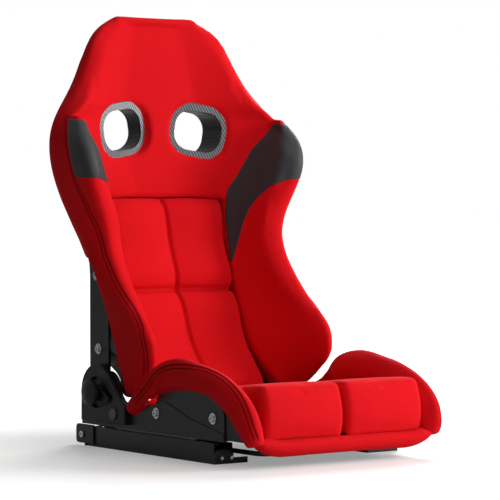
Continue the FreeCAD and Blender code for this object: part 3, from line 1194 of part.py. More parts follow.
def harness_room():
    """Space in the cushion that the bezel and its sleeve need, open to the front."""
    face = HARNESS_FACE_Y
    front = yawed(harness_prism(HARNESS_RIM, face - HARNESS_CUT_REACH, face + HARNESS_LIP))
    return front.fuse(harness_prism(HARNESS_SLEEVE_WALL, face - HARNESS_SLEEVE_BLANK,
                                    HARNESS_BACK_Y + HARNESS_CUT_REACH))


def inner_shell(gap):
    """Space inside the shell and its gap, run out through the open front and bottom."""
    rows = list(SHELL_STATIONS)
    rows[0] = (rows[0][0] - SHELL_WALL,) + rows[0][1:]
    rows[-1] = (rows[-1][0] - SHELL_WALL - gap,) + rows[-1][1:]
    return loft([shell_section(row, SHELL_WALL + gap, FOAM_REACH) for row in rows])


def back_shell():
    """Moulded shell behind the back cushions, open at the front."""
    outer = loft([shell_section(row, 0.0, 0.0) for row in SHELL_STATIONS])
    shell = outer.cut(inner_shell(0.0))
    sleeve = harness_prism(HARNESS_SLEEVE_WALL, HARNESS_FACE_Y, HARNESS_BACK_Y + 1)
    ring = harness_prism(HARNESS_RING_MARGIN, HARNESS_BACK_Y - HARNESS_RING_THICKNESS,
                         HARNESS_BACK_Y + 1)
    cuts = [sleeve, mirrored(sleeve), ring, mirrored(ring)]
    arm = recliner_arm()
    cuts += [arm, mirrored(arm)]
    for y, z in ((ARM_BOLT_UPPER_Y, ARM_BOLT_UPPER_Z), (ARM_BOLT_LOWER_Y, ARM_BOLT_LOWER_Z)):
        cuts.append(rod_x(y, z, BOLT_SHANK_RADIUS, -WING_OUTERMOST_X, WING_OUTERMOST_X))
    for cutter in cuts:
        shell = shell.cut(cutter)
    return shell


def foam_limit():
    """All that lies beside and behind the cushions of the backrest: the shell and past it."""
    grow = FOAM_LIMIT_GROWTH
    grown = [(row[0], row[1] + grow, row[2], row[3] + grow, row[4] + grow) for row in SHELL_STATIONS]
    sections = [shell_section(row, 0.0, FOAM_EDGE_GAP) for row in grown]
    below = Part.Face(sections[0]).extrude(point(0, 0, -grow))
    above = Part.Face(sections[-1]).extrude(point(0, 0, grow))
    return loft(sections).fuse([below, above]).cut(inner_shell(FOAM_FIT))


def pad_section(z, groove, recess, half):
    """Outline across the back pad: two crowned panels and the groove between them."""
    border = groove - PAD_BORDER + recess
    crown = groove - PAD_CROWN + recess
    rear = interpolate(SHELL_STATIONS, z, 3) - SHELL_WALL
    g = PAD_GROOVE_HALF
    middle = half / 2
    return Part.Wire([
        arc(point(-half, border, z), point(-middle, crown, z), point(-g, groove + recess, z)),
        line(point(-g, groove + recess, z), point(g, groove + recess, z)),
        arc(point(g, groove + recess, z), point(middle, crown, z), point(half, border, z)),
        line(point(half, border, z), point(half, rear, z)),
        line(point(half, rear, z), point(-half, rear, z)),
        line(point(-half, rear, z), point(-half, border, z)),
    ])


def pad_block(low, high):
    """One pair of panels between two heights, drawn in at both ends."""
    swell = [low + (high - low) * share for share in PAD_SWELL_SHARES]
    heights = [low, low + PAD_END_ROUND] + swell + [high - PAD_END_ROUND, high]
    wires = []
    for z in heights:
        recess = PAD_CHANNEL if z in (low, high) else 0.0
        wires.append(pad_section(z, interpolate(PAD_LINE, z), recess, interpolate(PAD_LINE, z, 2)))
    return loft(wires)


def back_pad(limit):
    """Removable back pad: two pairs of panels with a channel between the pairs."""
    bottom = PAD_LINE[0][0]
    top = PAD_LINE[-1][0] - 1.0
    pad = pad_block(bottom, PAD_CHANNEL_Z).fuse(pad_block(PAD_CHANNEL_Z, top))
    return pad.cut(limit)


def wing_section(row, shell_row):
    """Outline across one wing: inner face, rounded tip, outer face and the part in the shell."""
    z, tip_x, tip_y, r, root_x, root_y, outer_x, outer_y = row
    half = max(shell_row[1] - SHELL_WALL + 1.0, root_x + WING_ROOT_MIN)
    rear_y = shell_row[3] - SHELL_WALL + 1.0
    corner = shell_row[4]
    centre = (tip_x, tip_y + r)
    inner_tip = point(centre[0] + r * math.cos(WING_LEAN_IN), centre[1] + r * math.sin(WING_LEAN_IN), z)
    outer_tip = point(centre[0] + r * math.cos(WING_LEAN_OUT), centre[1] + r * math.sin(WING_LEAN_OUT), z)
    crest = point(tip_x, tip_y, z)
    root = point(root_x, root_y, z)
    inner_mid = point((root_x + inner_tip.x) / 2 + WING_INNER_BULGE_X,
                      (root_y + inner_tip.y) / 2 + WING_INNER_BULGE_Y, z)
    outer = point(outer_x, outer_y, z)
    outer_mid = point((outer_x + outer_tip.x) / 2 + WING_OUTER_BULGE, (outer_y + outer_tip.y) / 2, z)
    seat = point(half, outer_y, z)
    deep_y = max(rear_y - corner * WING_CORNER_SHARE, outer_y + 4.0)
    deep = point(half, deep_y, z)
    back_y = min(rear_y - corner * WING_BACK_SHARE, root_y + WING_ROOT_DEPTH)
    back = point(root_x, max(back_y, root_y + WING_ROOT_MIN), z)
    return Part.Wire([arc(root, inner_mid, inner_tip), arc(inner_tip, crest, outer_tip),
                      arc(outer_tip, outer_mid, outer), line(outer, seat), line(seat, deep),
                      line(deep, back), line(back, root)])


def shell_row_at(z):
    return tuple([z] + [interpolate(SHELL_STATIONS, z, column) for column in range(1, 5)])


WING_OUTERMOST_X = max(row[6] for row in WING_STATIONS)


def raw_wing():
    return loft([wing_section(row, shell_row_at(row[0])) for row in WING_STATIONS])


def back_wing(limit, head, fasteners):
    """Side bolster of the backrest, seated in the shell and clear of the steel arm."""
    gap = ARM_CLEARANCE
    arm_room = box(ARM_INNER_X - gap, ARM_INNER_X + ARM_THICKNESS + gap, ARM_FRONT_Y - gap,
                   ARM_REAR_Y + ARM_FOOT_RADIUS, PIVOT_Z, ARM_TOP_Z + gap)
    bolt_room = rod_x(ARM_BOLT_UPPER_Y, ARM_BOLT_UPPER_Z, WASHER_RADIUS + gap, ARM_INNER_X,
                      WING_OUTERMOST_X)
    wing = raw_wing().cut(limit).cut(head)
    for cutter in [arm_room, bolt_room] + fasteners:
        wing = wing.cut(cutter)
    return max(wing.Solids, key=lambda solid: solid.Volume)


def head_section(row):
    """Outline across the head cushion: flat middle, sides that come forward, round edges."""
    z, half, side_y, centre_y, rear_y, r = row
    middle = (side_y + rear_y) / 2
    back_y = interpolate(SHELL_STATIONS, z, 3) - SHELL_WALL + 1.0
    flat = HEAD_FLAT_SHARE * half
    bend_x = (flat + half - r) / 2
    bend_y = centre_y - HEAD_BEND_SHARE * (centre_y - side_y)
    return Part.Wire([
        arc(point(-half + r, side_y, z), point(-bend_x, bend_y, z), point(-flat, centre_y, z)),
        line(point(-flat, centre_y, z), point(flat, centre_y, z)),
        arc(point(flat, centre_y, z), point(bend_x, bend_y, z), point(half - r, side_y, z)),
        arc(point(half - r, side_y, z), point(half, middle, z), point(half - r, rear_y, z)),
        arc(point(half - r, rear_y, z), point(0, back_y, z), point(-half + r, rear_y, z)),
        arc(point(-half + r, rear_y, z), point(-half, middle, z), point(-half + r, side_y, z)),
    ])


def head_cushion(limit):
    """Upper back and head cushion with the two harness openings."""
    body = loft([head_section(row) for row in HEAD_STATIONS])
    room = harness_room()
    return body.cut(limit).cut(room).cut(mirrored(room))


# Writing the parts


def write(name, shapes):
    """Write one node as a STEP file, one solid or a group of separate solids."""
    shapes = shapes if isinstance(shapes, list) else [shapes]
    solids = []
    for shape in shapes:
        solids.extend(shape.Solids)
    body = solids[0] if len(solids) == 1 else Part.makeCompound(solids)
    body.exportStep(os.path.join("parts", name + ".step"))
    print(name, len(solids), "valid" if body.isValid() else "INVALID", round(body.Volume))


def write_pair(name, shapes):
    """Write a sided node for each side."""
    shapes = shapes if isinstance(shapes, list) else [shapes]
    write(name + "_left", shapes)
    write(name + "_right", [mirrored(shape) for shape in shapes])


def write_both(name, shapes):
    """Write one node that holds the pieces of both sides."""
    write(name, shapes + [mirrored(shape) for shape in shapes])


def main():
    os.makedirs("parts", exist_ok=True)
    write_pair("lower_rail", lower_rail())
    write_pair("front_foot", front_foot())
    write_pair("rear_foot", rear_foot())
    write_both("foot_bolts", foot_bolts())
    write_pair("upper_rail", upper_rail())
    write_both("rail_glides", rail_glides())
    write_both("rail_guides", rail_guides())
    write_both("rail_bolts", rail_bolts())
    write_pair("side_bracket", side_bracket())
    write_both("base_bolts", base_bolts())
    write_both("base_inserts", base_inserts())
    write_pair("hub_ring", hub_ring())
    write_pair("hub_gear", hub_gear())
    write_pair("return_spring", return_spring())
    write_pair("recliner_arm", recliner_arm())
    shell = back_shell()
    inserts = arm_inserts(shell)
    write("back_shell", shell)
    write_both("arm_bolts", arm_bolts())
    write_both("arm_inserts", inserts)
    write_pair("recliner_cover", recliner_cover())
    write_both("cover_caps", [cover_cap()])
    write_pair("release_lever", release_lever())
    write("release_tube", release_tube())
    write_pair("recline_dial", dial())
    write("dial_shaft", dial_shaft())
    write("slide_handle", handle_bar())
    write_pair("lock_arm", lock_arm())
    write_both("handle_pins", [handle_pin()])
    bolster = seat_bolster().cut(side_bracket())
    write("base_shell", base_shell(bolster))
    write_pair("seat_bolster", bolster)
    write_pair("thigh_pad", thigh_pad())
    write("seat_cushion", seat_cushion())
    write("front_lip", lip_roll().cut(bolster).cut(mirrored(bolster)))
    limit = foam_limit()
    head = head_cushion(limit)
    write("head_cushion", head)
    write_pair("back_wing", back_wing(limit, head, arm_bolts() + inserts))
    write("back_pad", back_pad(limit))
    write_pair("harness_frame", harness_frame())
    write_pair("harness_ring", harness_ring())


main()
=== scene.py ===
import json
import logging
import math
from collections.abc import Callable, Sequence
from dataclasses import dataclass, field, replace
from enum import Enum

import bmesh
import bpy
import numpy as np
from mathutils import Matrix, Vector
from mathutils.bvhtree import BVHTree
from mathutils.kdtree import KDTree

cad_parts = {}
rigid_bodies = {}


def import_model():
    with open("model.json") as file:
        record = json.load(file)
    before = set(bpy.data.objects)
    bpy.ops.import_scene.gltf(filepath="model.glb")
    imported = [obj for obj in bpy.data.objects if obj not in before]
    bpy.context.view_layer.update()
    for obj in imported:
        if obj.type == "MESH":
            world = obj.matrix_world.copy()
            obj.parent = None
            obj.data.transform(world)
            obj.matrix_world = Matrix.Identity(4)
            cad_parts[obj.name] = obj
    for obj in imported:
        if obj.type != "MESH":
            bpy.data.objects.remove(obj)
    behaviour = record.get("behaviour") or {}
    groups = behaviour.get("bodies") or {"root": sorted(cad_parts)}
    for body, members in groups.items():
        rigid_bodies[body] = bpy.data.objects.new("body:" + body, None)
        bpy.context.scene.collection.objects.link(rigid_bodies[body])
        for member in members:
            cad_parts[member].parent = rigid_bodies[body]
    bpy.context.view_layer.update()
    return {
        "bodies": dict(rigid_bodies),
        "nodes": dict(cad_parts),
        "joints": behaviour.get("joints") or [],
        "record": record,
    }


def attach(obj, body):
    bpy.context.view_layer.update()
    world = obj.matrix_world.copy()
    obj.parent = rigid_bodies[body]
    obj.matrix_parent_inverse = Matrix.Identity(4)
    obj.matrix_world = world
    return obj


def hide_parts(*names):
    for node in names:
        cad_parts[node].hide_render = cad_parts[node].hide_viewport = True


LOG = logging.getLogger("racing_seat")
MM = 0.001
Point = tuple[float, float, float]

CAMERA_PLACE = (-3.115, -4.323, 0.542)
CAMERA_TURN_DEG = 36.0
CAMERA_DIP_DEG = 1.283
CAMERA_LENS = 180.0
CAMERA_SENSOR = 36.0
PRESSURE_FRAMES = 20
SMOOTH_SHARE = 0.5
CURVE_STEPS = 12
ROUTE_STEP = 0.004
STRIP_MARGIN = 0.004
# How quickly the painted shade in a seam groove reaches full strength from the groove's edge.
PAINTED_SHADE_SPREAD = 1.4
STITCH_LIFT = 0.00015
MERGE_GAP = 1e-5
SAME_POINT = 1e-6
TINY = 1e-9


class Slot(Enum):
    """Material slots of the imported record."""

    RED_FABRIC = "red_fabric"
    RED_SUEDE = "red_suede"
    MESH_FABRIC = "mesh_fabric"
    SHELL = "shell_plastic"
    BEZEL = "bezel_plastic"
    COVER = "cover_plastic"
    CAP = "cap_plastic"
    DIAL = "dial_plastic"
    NYLON = "nylon"
    BRACKET = "bracket_steel"
    RAIL = "rail_steel"
    ZINC = "zinc_steel"
    BARE = "bare_steel"


# Mesh helpers


def select_only(piece: bpy.types.Object) -> None:
    """Select and activate one object alone.

    Args:
        piece: The object to work on.
    """
    bpy.ops.object.select_all(action="DESELECT")
    piece.select_set(True)
    bpy.context.view_layer.objects.active = piece


def in_edit_mode(piece: bpy.types.Object, operator: Callable, **settings: object) -> None:
    """Run one mesh operator on the whole of a piece, in edit mode.

    Args:
        piece: The object to change.
        operator: A bpy.ops function.
        settings: Its own settings.
    """
    select_only(piece)
    bpy.ops.object.mode_set(mode="EDIT")
    bpy.ops.mesh.select_all(action="SELECT")
    operator(**settings)
    bpy.ops.object.mode_set(mode="OBJECT")


def linked(name: str, data: bpy.types.ID) -> bpy.types.Object:
    """Make an object for a mesh, camera or lamp and link it to the scene.

    Args:
        name: Object name.
        data: What it shows.

    Returns:
        The new object.
    """
    made = bpy.data.objects.new(name, data)
    bpy.context.scene.collection.objects.link(made)
    return made


def apply_modifier(piece: bpy.types.Object, kind: str, **settings: object) -> None:
    """Add a modifier with its settings and apply it.

    Args:
        piece: The object to change.
        kind: Modifier type.
        settings: Attribute values of the modifier.
    """
    select_only(piece)
    modifier = piece.modifiers.new(kind.lower(), kind)
    for key, value in settings.items():
        setattr(modifier, key, value)
    bpy.ops.object.modifier_apply(modifier=modifier.name)


def smooth(piece: bpy.types.Object, steps: int) -> None:
    """Even out a mesh by a number of smoothing steps."""
    apply_modifier(piece, "SMOOTH", factor=SMOOTH_SHARE, iterations=steps)


def voxel_remesh(piece: bpy.types.Object, size: float) -> None:
    """Remesh a closed mesh with voxels of a size in metres."""
    apply_modifier(piece, "REMESH", mode="VOXEL", voxel_size=size, adaptivity=0.0)


def coordinates(piece: bpy.types.Object) -> np.ndarray:
    """Vertex positions of a mesh object.

    Args:
        piece: A mesh object at the origin.

    Returns:
        An array of one row per vertex.
    """
    flat = np.empty(len(piece.data.vertices) * 3, np.float32)
    piece.data.vertices.foreach_get("co", flat)
    return flat.reshape(-1, 3)


def set_coordinates(piece: bpy.types.Object, places: np.ndarray) -> None:
    """Write vertex positions back to a mesh object.

    Args:
        piece: A mesh object at the origin.
        places: One row per vertex.
    """
    piece.data.vertices.foreach_set("co", places.astype(np.float32).ravel())
    piece.data.update()


def normals_of(piece: bpy.types.Object) -> np.ndarray:
    """Vertex normals of a mesh object.

    Args:
        piece: A mesh object.

    Returns:
        An array of one unit row per vertex.
    """
    flat = np.empty(len(piece.data.vertices) * 3, np.float32)
    piece.data.vertex_normals.foreach_get("vector", flat)
    return flat.reshape(-1, 3)


def mesh_object(name: str, vertices: list, faces: list) -> bpy.types.Object:
    """Make a linked mesh object from points and faces.

    Args:
        name: Object name.
        vertices: Points in metres.
        faces: Vertex numbers of each face.

    Returns:
        The new object, at the origin.
    """
    mesh = bpy.data.meshes.new(name)
    mesh.from_pydata([tuple(v) for v in vertices], [], [tuple(int(i) for i in f) for f in faces])
    mesh.update()
    return linked(name, mesh)


def merged_copy(node: bpy.types.Object, name: str) -> bpy.types.Object:
    """Copy of a CAD node with its doubles merged, and no materials or corner data.

    Args:
        node: The CAD node's object.
        name: Name of the copy.

    Returns:
        The copy, with a mesh of its own.
    """
    mesh = node.data.copy()
    mesh.materials.clear()
    work = bmesh.new()
    work.from_mesh(mesh)
    bmesh.ops.remove_doubles(work, verts=work.verts, dist=MERGE_GAP)
    work.to_mesh(mesh)
    work.free()
    for label in [a.name for a in mesh.attributes if a.domain == "CORNER" and not a.is_required]:
        mesh.attributes.remove(mesh.attributes[label])
    return linked(name, mesh)


def shade(piece: bpy.types.Object) -> None:
    """Give a piece smooth shading."""
    select_only(piece)
    bpy.ops.object.shade_smooth()


def mirror_copy(piece: bpy.types.Object, name: str) -> bpy.types.Object:
    """Copy of a piece on the other side of the seat, with its own mesh.

    Args:
        piece: The +X piece.
        name: Name of the copy.

    Returns:
        The mirrored copy.
    """
    mesh = piece.data.copy()
    mesh.transform(Matrix.Scale(-1.0, 4, (1.0, 0.0, 0.0)))
    mesh.flip_normals()
    return linked(name, mesh)


def resample(points: np.ndarray, step: float) -> np.ndarray:
    """Evenly spaced points along a smooth curve through the given points.

    Args:
        points: Rows in order along the curve.
        step: Distance between the new points.

    Returns:
        The new rows, ends kept.
    """
    padded = np.vstack([2 * points[0] - points[1], points, 2 * points[-1] - points[-2]])
    fine = []
    for index in range(1, len(padded) - 2):
        before, start, end, after = padded[index - 1:index + 3]
        for share in np.linspace(0.0, 1.0, CURVE_STEPS, endpoint=False):
            square = share * share
            cube = square * share
            fine.append(0.5 * (2 * start + (end - before) * share
                               + (2 * before - 5 * start + 4 * end - after) * square
                               + (3 * start - before - 3 * end + after) * cube))
    fine.append(points[-1])
    fine = np.array(fine)
    lengths = np.concatenate([[0.0], np.cumsum(np.linalg.norm(np.diff(fine, axis=0), axis=1))])
    count = max(2, int(round(lengths[-1] / step)) + 1)
    places = np.linspace(0.0, lengths[-1], count)
    return np.column_stack([np.interp(places, lengths, fine[:, axis]) for axis in range(3)])


def soften(points: np.ndarray, rounds: int) -> None:
    """Even out a line of points in place, ends kept.

    Args:
        points: Rows in order along the line.
        rounds: How often each point moves towards its two neighbours.
    """
    for _ in range(rounds):
        points[1:-1] = 0.25 * points[:-2] + 0.5 * points[1:-1] + 0.25 * points[2:]


def surface_tree(piece: bpy.types.Object) -> BVHTree:
    """Search tree over a mesh object's faces."""
    return BVHTree.FromObject(piece, bpy.context.evaluated_depsgraph_get())


def point_tree(points: Sequence) -> KDTree:
    """Search tree over a list of points.

    Args:
        points: The points, found again by their number.

    Returns:
        The tree.
    """
    tree = KDTree(len(points))
    for index, place in enumerate(points):
        tree.insert(place, index)
    tree.balance()
    return tree


def shader_of(tree: bpy.types.NodeTree, kind: str) -> bpy.types.Node:
    """The node of a kind that a new node tree starts with."""
    return next(node for node in tree.nodes if node.type == kind)


# Shader node groups and finishes


class Graph:
    """Short hand for building a node tree."""

    def __init__(self, tree: bpy.types.NodeTree) -> None:
        """Keep the tree to build in."""
        self.tree = tree

    def add(self, kind: str, **settings: object) -> bpy.types.Node:
        """Add a node.

        Args:
            kind: Node type.
            settings: Node attributes, and inputs where the name has a leading underscore.

        Returns:
            The node.
        """
        node = self.tree.nodes.new(kind)
        for key, value in settings.items():
            if key.startswith("_"):
                name = key[1:].replace("_", " ")
                node.inputs[name].default_value = value
            else:
                setattr(node, key, value)
        return node

    def split(self, vector: bpy.types.NodeSocket) -> bpy.types.NodeOutputs:
        """X, Y and Z of a vector socket.

        Args:
            vector: The socket to take apart.

        Returns:
            The three outputs, by name.
        """
        node = self.add("ShaderNodeSeparateXYZ")
        self.link(vector, node.inputs[0])
        return node.outputs

    def link(self, source: bpy.types.NodeSocket, target: bpy.types.NodeSocket) -> None:
        """Join an output to an input."""
        self.tree.links.new(source, target)

    def math(self, operation: str, first: object, second: object = None) -> bpy.types.NodeSocket:
        """Math node on sockets or numbers.

        Args:
            operation: Math operation.
            first: Socket or number.
            second: Socket or number, where the operation takes two.

        Returns:
            The value socket.
        """
        node = self.add("ShaderNodeMath", operation=operation)
        for index, value in enumerate((first, second)):
            if isinstance(value, bpy.types.NodeSocket):
                self.link(value, node.inputs[index])
            elif value is not None:
                node.inputs[index].default_value = value
        return node.outputs[0]

    def mix(self, factor: object, first: object, second: object) -> bpy.types.NodeSocket:
        """Colour mix of two sockets or colours.

        Args:
            factor: Socket or number.
            first: Colour at 0.
            second: Colour at 1.

        Returns:
            The colour socket.
        """
        node = self.add("ShaderNodeMix", data_type="RGBA")
        for key, value in (("Factor_Float", factor), ("A_Color", first), ("B_Color", second)):
            target = next(s for s in node.inputs if s.identifier == key)
            if isinstance(value, bpy.types.NodeSocket):
                self.link(value, target)
            else:
                target.default_value = value
        return next(s for s in node.outputs if s.identifier == "Result_Color")

    def ramp(self, value: bpy.types.NodeSocket, low: float, high: float,
             out_low: float = 0.0, out_high: float = 1.0) -> bpy.types.NodeSocket:
        """Clamped linear map of a value.

        Args:
            value: Input socket.
            low: Input that gives out_low.
            high: Input that gives out_high.
            out_low: Lowest output.
            out_high: Highest output.

        Returns:
            The value socket.
        """
        node = self.add("ShaderNodeMapRange", clamp=True)
        node.inputs["From Min"].default_value = low
        node.inputs["From Max"].default_value = high
        node.inputs["To Min"].default_value = out_low
        node.inputs["To Max"].default_value = out_high
        self.link(value, node.inputs["Value"])
        return node.outputs["Result"]


def new_group(name: str, inputs: list[tuple[str, str, object]],
              outputs: list[tuple[str, str]]) -> tuple[Graph, bpy.types.Node, bpy.types.Node]:
    """Start a shader node group.

    Args:
        name: Group name.
        inputs: Name, socket type and default of each input.
        outputs: Name and socket type of each output.

    Returns:
        The graph, its input node and its output node.
    """
    tree = bpy.data.node_groups.new(name, "ShaderNodeTree")
    for label, kind, default in inputs:
        socket = tree.interface.new_socket(name=label, in_out="INPUT", socket_type=kind)
        if default is not None:
            socket.default_value = default
    for label, kind in outputs:
        tree.interface.new_socket(name=label, in_out="OUTPUT", socket_type=kind)
    graph = Graph(tree)
    return graph, graph.add("NodeGroupInput"), graph.add("NodeGroupOutput")


FLOAT = "NodeSocketFloat"
VECTOR = "NodeSocketVector"


class Patterns:
    """Surface patterns of the finishes, each a node group built once.

    A pair of numbers is where a mask or mottle starts and where it is full. The knit's lean bends
    its loops into a V, and its rib and loop are their shares of the height.
    """

    KNIT_LEAN = 2.4
    KNIT_RIB = 0.30
    KNIT_LOOP = 0.34
    KNIT_GAP = (-0.15, -0.55)
    NET_STAGGER = 0.577
    NET_HOLE = (0.45, 0.80)
    TWILL_STEP = 0.25
    TWILL_OVER = 0.49
    MOTTLE = (0.30, 0.70)
    SCUFF_STRETCH = (1.0, 0.06, 1.0)
    SCUFF_TURN = (0.5, 0.2, 0.7)
    SCUFF_LINES = (0.60, 0.68)
    SCUFF_PATCHES = (0.50, 0.65)

    def __init__(self) -> None:
        """Build every group."""
        self.knit = self._knit()
        self.net = self._net()
        self.twill = self._twill()
        self.grain = self._grain()
        self.scuffs = self._scuffs()

    @staticmethod
    def _knit() -> bpy.types.NodeTree:
        """Rows of small V-shaped loops on a surface map in metres.

        Returns:
            The group, with the height of the yarn and a mask of the gaps.
        """
        graph, entry, result = new_group(
            "knit_loops", [("Map", VECTOR, None), ("Pitch", FLOAT, 0.0011)],
            [("Height", FLOAT), ("Gap", FLOAT)])
        split = graph.split(entry.outputs["Map"])
        turns = graph.math("DIVIDE", 2 * math.pi, entry.outputs["Pitch"])
        across = graph.math("MULTIPLY", split["X"], turns)
        along = graph.math("MULTIPLY", split["Y"], turns)
        ribs = graph.math("COSINE", across)
        lean = graph.math("MULTIPLY", graph.math("ABSOLUTE", graph.math("SINE", graph.math(
            "MULTIPLY", across, 0.5))), Patterns.KNIT_LEAN)
        loops = graph.math("SINE", graph.math("ADD", along, lean))
        height = graph.math("ADD", graph.math("MULTIPLY", ribs, Patterns.KNIT_RIB),
                            graph.math("MULTIPLY", loops, Patterns.KNIT_LOOP))
        graph.link(graph.math("ADD", height, 0.5), result.inputs["Height"])
        graph.link(graph.ramp(height, *Patterns.KNIT_GAP), result.inputs["Gap"])
        return graph.tree

    @staticmethod
    def _net() -> bpy.types.NodeTree:
        """Staggered round holes on a surface map in metres, as in spacer mesh cloth.

        Returns:
            The group, with the height of the cloth and a mask of the holes.
        """
        graph, entry, result = new_group(
            "net_cloth", [("Map", VECTOR, None), ("Pitch", FLOAT, 0.0024)],
            [("Height", FLOAT), ("Hole", FLOAT)])
        split = graph.split(entry.outputs["Map"])
        turns = graph.math("DIVIDE", 2 * math.pi, entry.outputs["Pitch"])
        across = graph.math("MULTIPLY", split["X"], turns)
        along = graph.math("MULTIPLY", split["Y"],
                           graph.math("MULTIPLY", turns, Patterns.NET_STAGGER))
        product = graph.math("MULTIPLY", graph.math("COSINE", across), graph.math("COSINE", along))
        hole = graph.ramp(graph.math("ABSOLUTE", product), *Patterns.NET_HOLE)
        graph.link(hole, result.inputs["Hole"])
        graph.link(graph.math("SUBTRACT", 1.0, hole), result.inputs["Height"])
        return graph.tree

    @staticmethod
    def _twill() -> bpy.types.NodeTree:
        """Twill weave of two strand directions that step sideways from row to row.

        Returns:
            The group, with the bulge of the strands and which of the two lies on top.
        """
        graph, entry, result = new_group(
            "twill_weave", [("Map", VECTOR, None), ("Pitch", FLOAT, 0.004)],
            [("Height", FLOAT), ("Warp", FLOAT)])
        split = graph.split(entry.outputs["Map"])
        column = graph.math("DIVIDE", split["X"], entry.outputs["Pitch"])
        row = graph.math("DIVIDE", split["Y"], entry.outputs["Pitch"])
        step = graph.math("SUBTRACT", graph.math("FLOOR", column), graph.math("FLOOR", row))
        fourth = graph.math("MULTIPLY", step, Patterns.TWILL_STEP)
        phase = graph.math("SUBTRACT", fourth, graph.math("FLOOR", fourth))
        warp = graph.math("LESS_THAN", phase, Patterns.TWILL_OVER)
        crown_x = graph.math("ABSOLUTE", graph.math("SINE", graph.math("MULTIPLY", column, math.pi)))
        crown_y = graph.math("ABSOLUTE", graph.math("SINE", graph.math("MULTIPLY", row, math.pi)))
        bulge = graph.add("ShaderNodeMix", data_type="FLOAT")
        graph.link(warp, bulge.inputs["Factor"])
        graph.link(crown_x, bulge.inputs["A"])
        graph.link(crown_y, bulge.inputs["B"])
        graph.link(bulge.outputs["Result"], result.inputs["Height"])
        graph.link(warp, result.inputs["Warp"])
        return graph.tree

    @staticmethod
    def _grain() -> bpy.types.NodeTree:
        """Fine moulded or sprayed grain with a broad mottle under it.

        Returns:
            The group, with the height of the grain and the mottle.
        """
        graph, entry, result = new_group(
            "fine_grain", [("Place", VECTOR, None), ("Cells", FLOAT, 900.0), ("Spots", FLOAT, 9.0)],
            [("Height", FLOAT), ("Mottle", FLOAT)])
        cells = graph.add("ShaderNodeTexNoise", noise_dimensions="3D", _Detail=3.0, _Roughness=0.6)
        graph.link(entry.outputs["Place"], cells.inputs["Vector"])
        graph.link(entry.outputs["Cells"], cells.inputs["Scale"])
        spots = graph.add("ShaderNodeTexNoise", noise_dimensions="3D", _Detail=4.0, _Roughness=0.55)
        graph.link(entry.outputs["Place"], spots.inputs["Vector"])
        graph.link(entry.outputs["Spots"], spots.inputs["Scale"])
        graph.link(cells.outputs[0], result.inputs["Height"])
        graph.link(graph.ramp(spots.outputs[0], *Patterns.MOTTLE), result.inputs["Mottle"])
        return graph.tree

    @staticmethod
    def _scuffs() -> bpy.types.NodeTree:
        """Thin scratches along one direction, in patches.

        Returns:
            The group, with a mask of the scratches.
        """
        graph, entry, result = new_group(
            "light_scuffs", [("Place", VECTOR, None), ("Lines", FLOAT, 260.0)], [("Mask", FLOAT)])
        stretch = graph.add("ShaderNodeMapping")
        stretch.inputs["Scale"].default_value = Patterns.SCUFF_STRETCH
        stretch.inputs["Rotation"].default_value = Patterns.SCUFF_TURN
        graph.link(entry.outputs["Place"], stretch.inputs["Vector"])
        lines = graph.add("ShaderNodeTexNoise", noise_dimensions="3D", _Detail=2.0)
        graph.link(stretch.outputs[0], lines.inputs["Vector"])
        graph.link(entry.outputs["Lines"], lines.inputs["Scale"])
        patches = graph.add("ShaderNodeTexNoise", noise_dimensions="3D", _Scale=14.0, _Detail=2.0)
        graph.link(entry.outputs["Place"], patches.inputs["Vector"])
        mask = graph.math("MULTIPLY", graph.ramp(lines.outputs[0], *Patterns.SCUFF_LINES),
                          graph.ramp(patches.outputs[0], *Patterns.SCUFF_PATCHES))
        graph.link(mask, result.inputs["Mask"])
        return graph.tree


class Finish:
    """A material under construction: its graph, shader and coordinate sockets."""

    def __init__(self, name: str) -> None:
        """Start a material with one principled shader.

        Args:
            name: Material name.
        """
        self.material = bpy.data.materials.new(name)
        self.material.use_nodes = True
        self.graph = Graph(self.material.node_tree)
        self.shader = shader_of(self.material.node_tree, "BSDF_PRINCIPLED")
        coordinate = self.graph.add("ShaderNodeTexCoord")
        self.place = coordinate.outputs["Object"]
        self.map = coordinate.outputs["UV"]
        self.normal = coordinate.outputs["Normal"]

    def set(self, **values: object) -> None:
        """Set plain inputs of the shader, with underscores for spaces."""
        for key, value in values.items():
            self.shader.inputs[key.replace("_", " ")].default_value = value

    def group(self, tree: bpy.types.NodeTree, source: bpy.types.NodeSocket,
              **values: float) -> bpy.types.Node:
        """Place a pattern group fed by a coordinate.

        Args:
            tree: The node group.
            source: Coordinate socket for its first input.
            values: Other inputs.

        Returns:
            The group node.
        """
        node = self.graph.add("ShaderNodeGroup", node_tree=tree)
        self.graph.link(source, node.inputs[0])
        for key, value in values.items():
            node.inputs[key].default_value = value
        return node

    def bump(self, height: bpy.types.NodeSocket, distance: float, strength: float = 1.0,
             under: bpy.types.NodeSocket | None = None) -> bpy.types.NodeSocket:
        """Feed a height to the shader's normal.

        Args:
            height: Height socket.
            distance: Height of 1 in metres.
            strength: Share of the effect.
            under: Normal of a bump below this one.

        Returns:
            The normal socket.
        """
        node = self.graph.add("ShaderNodeBump", _Strength=strength, _Distance=distance)
        self.graph.link(height, node.inputs["Height"])
        if under is not None:
            self.graph.link(under, node.inputs["Normal"])
        self.graph.link(node.outputs[0], self.shader.inputs["Normal"])
        return node.outputs[0]

    def colour(self, socket: bpy.types.NodeSocket) -> None:
        """Feed the base colour."""
        self.graph.link(socket, self.shader.inputs["Base Color"])

    def roughness(self, socket: bpy.types.NodeSocket) -> None:
        """Feed the roughness."""
        self.graph.link(socket, self.shader.inputs["Roughness"])


Colour = tuple[float, float, float, float]


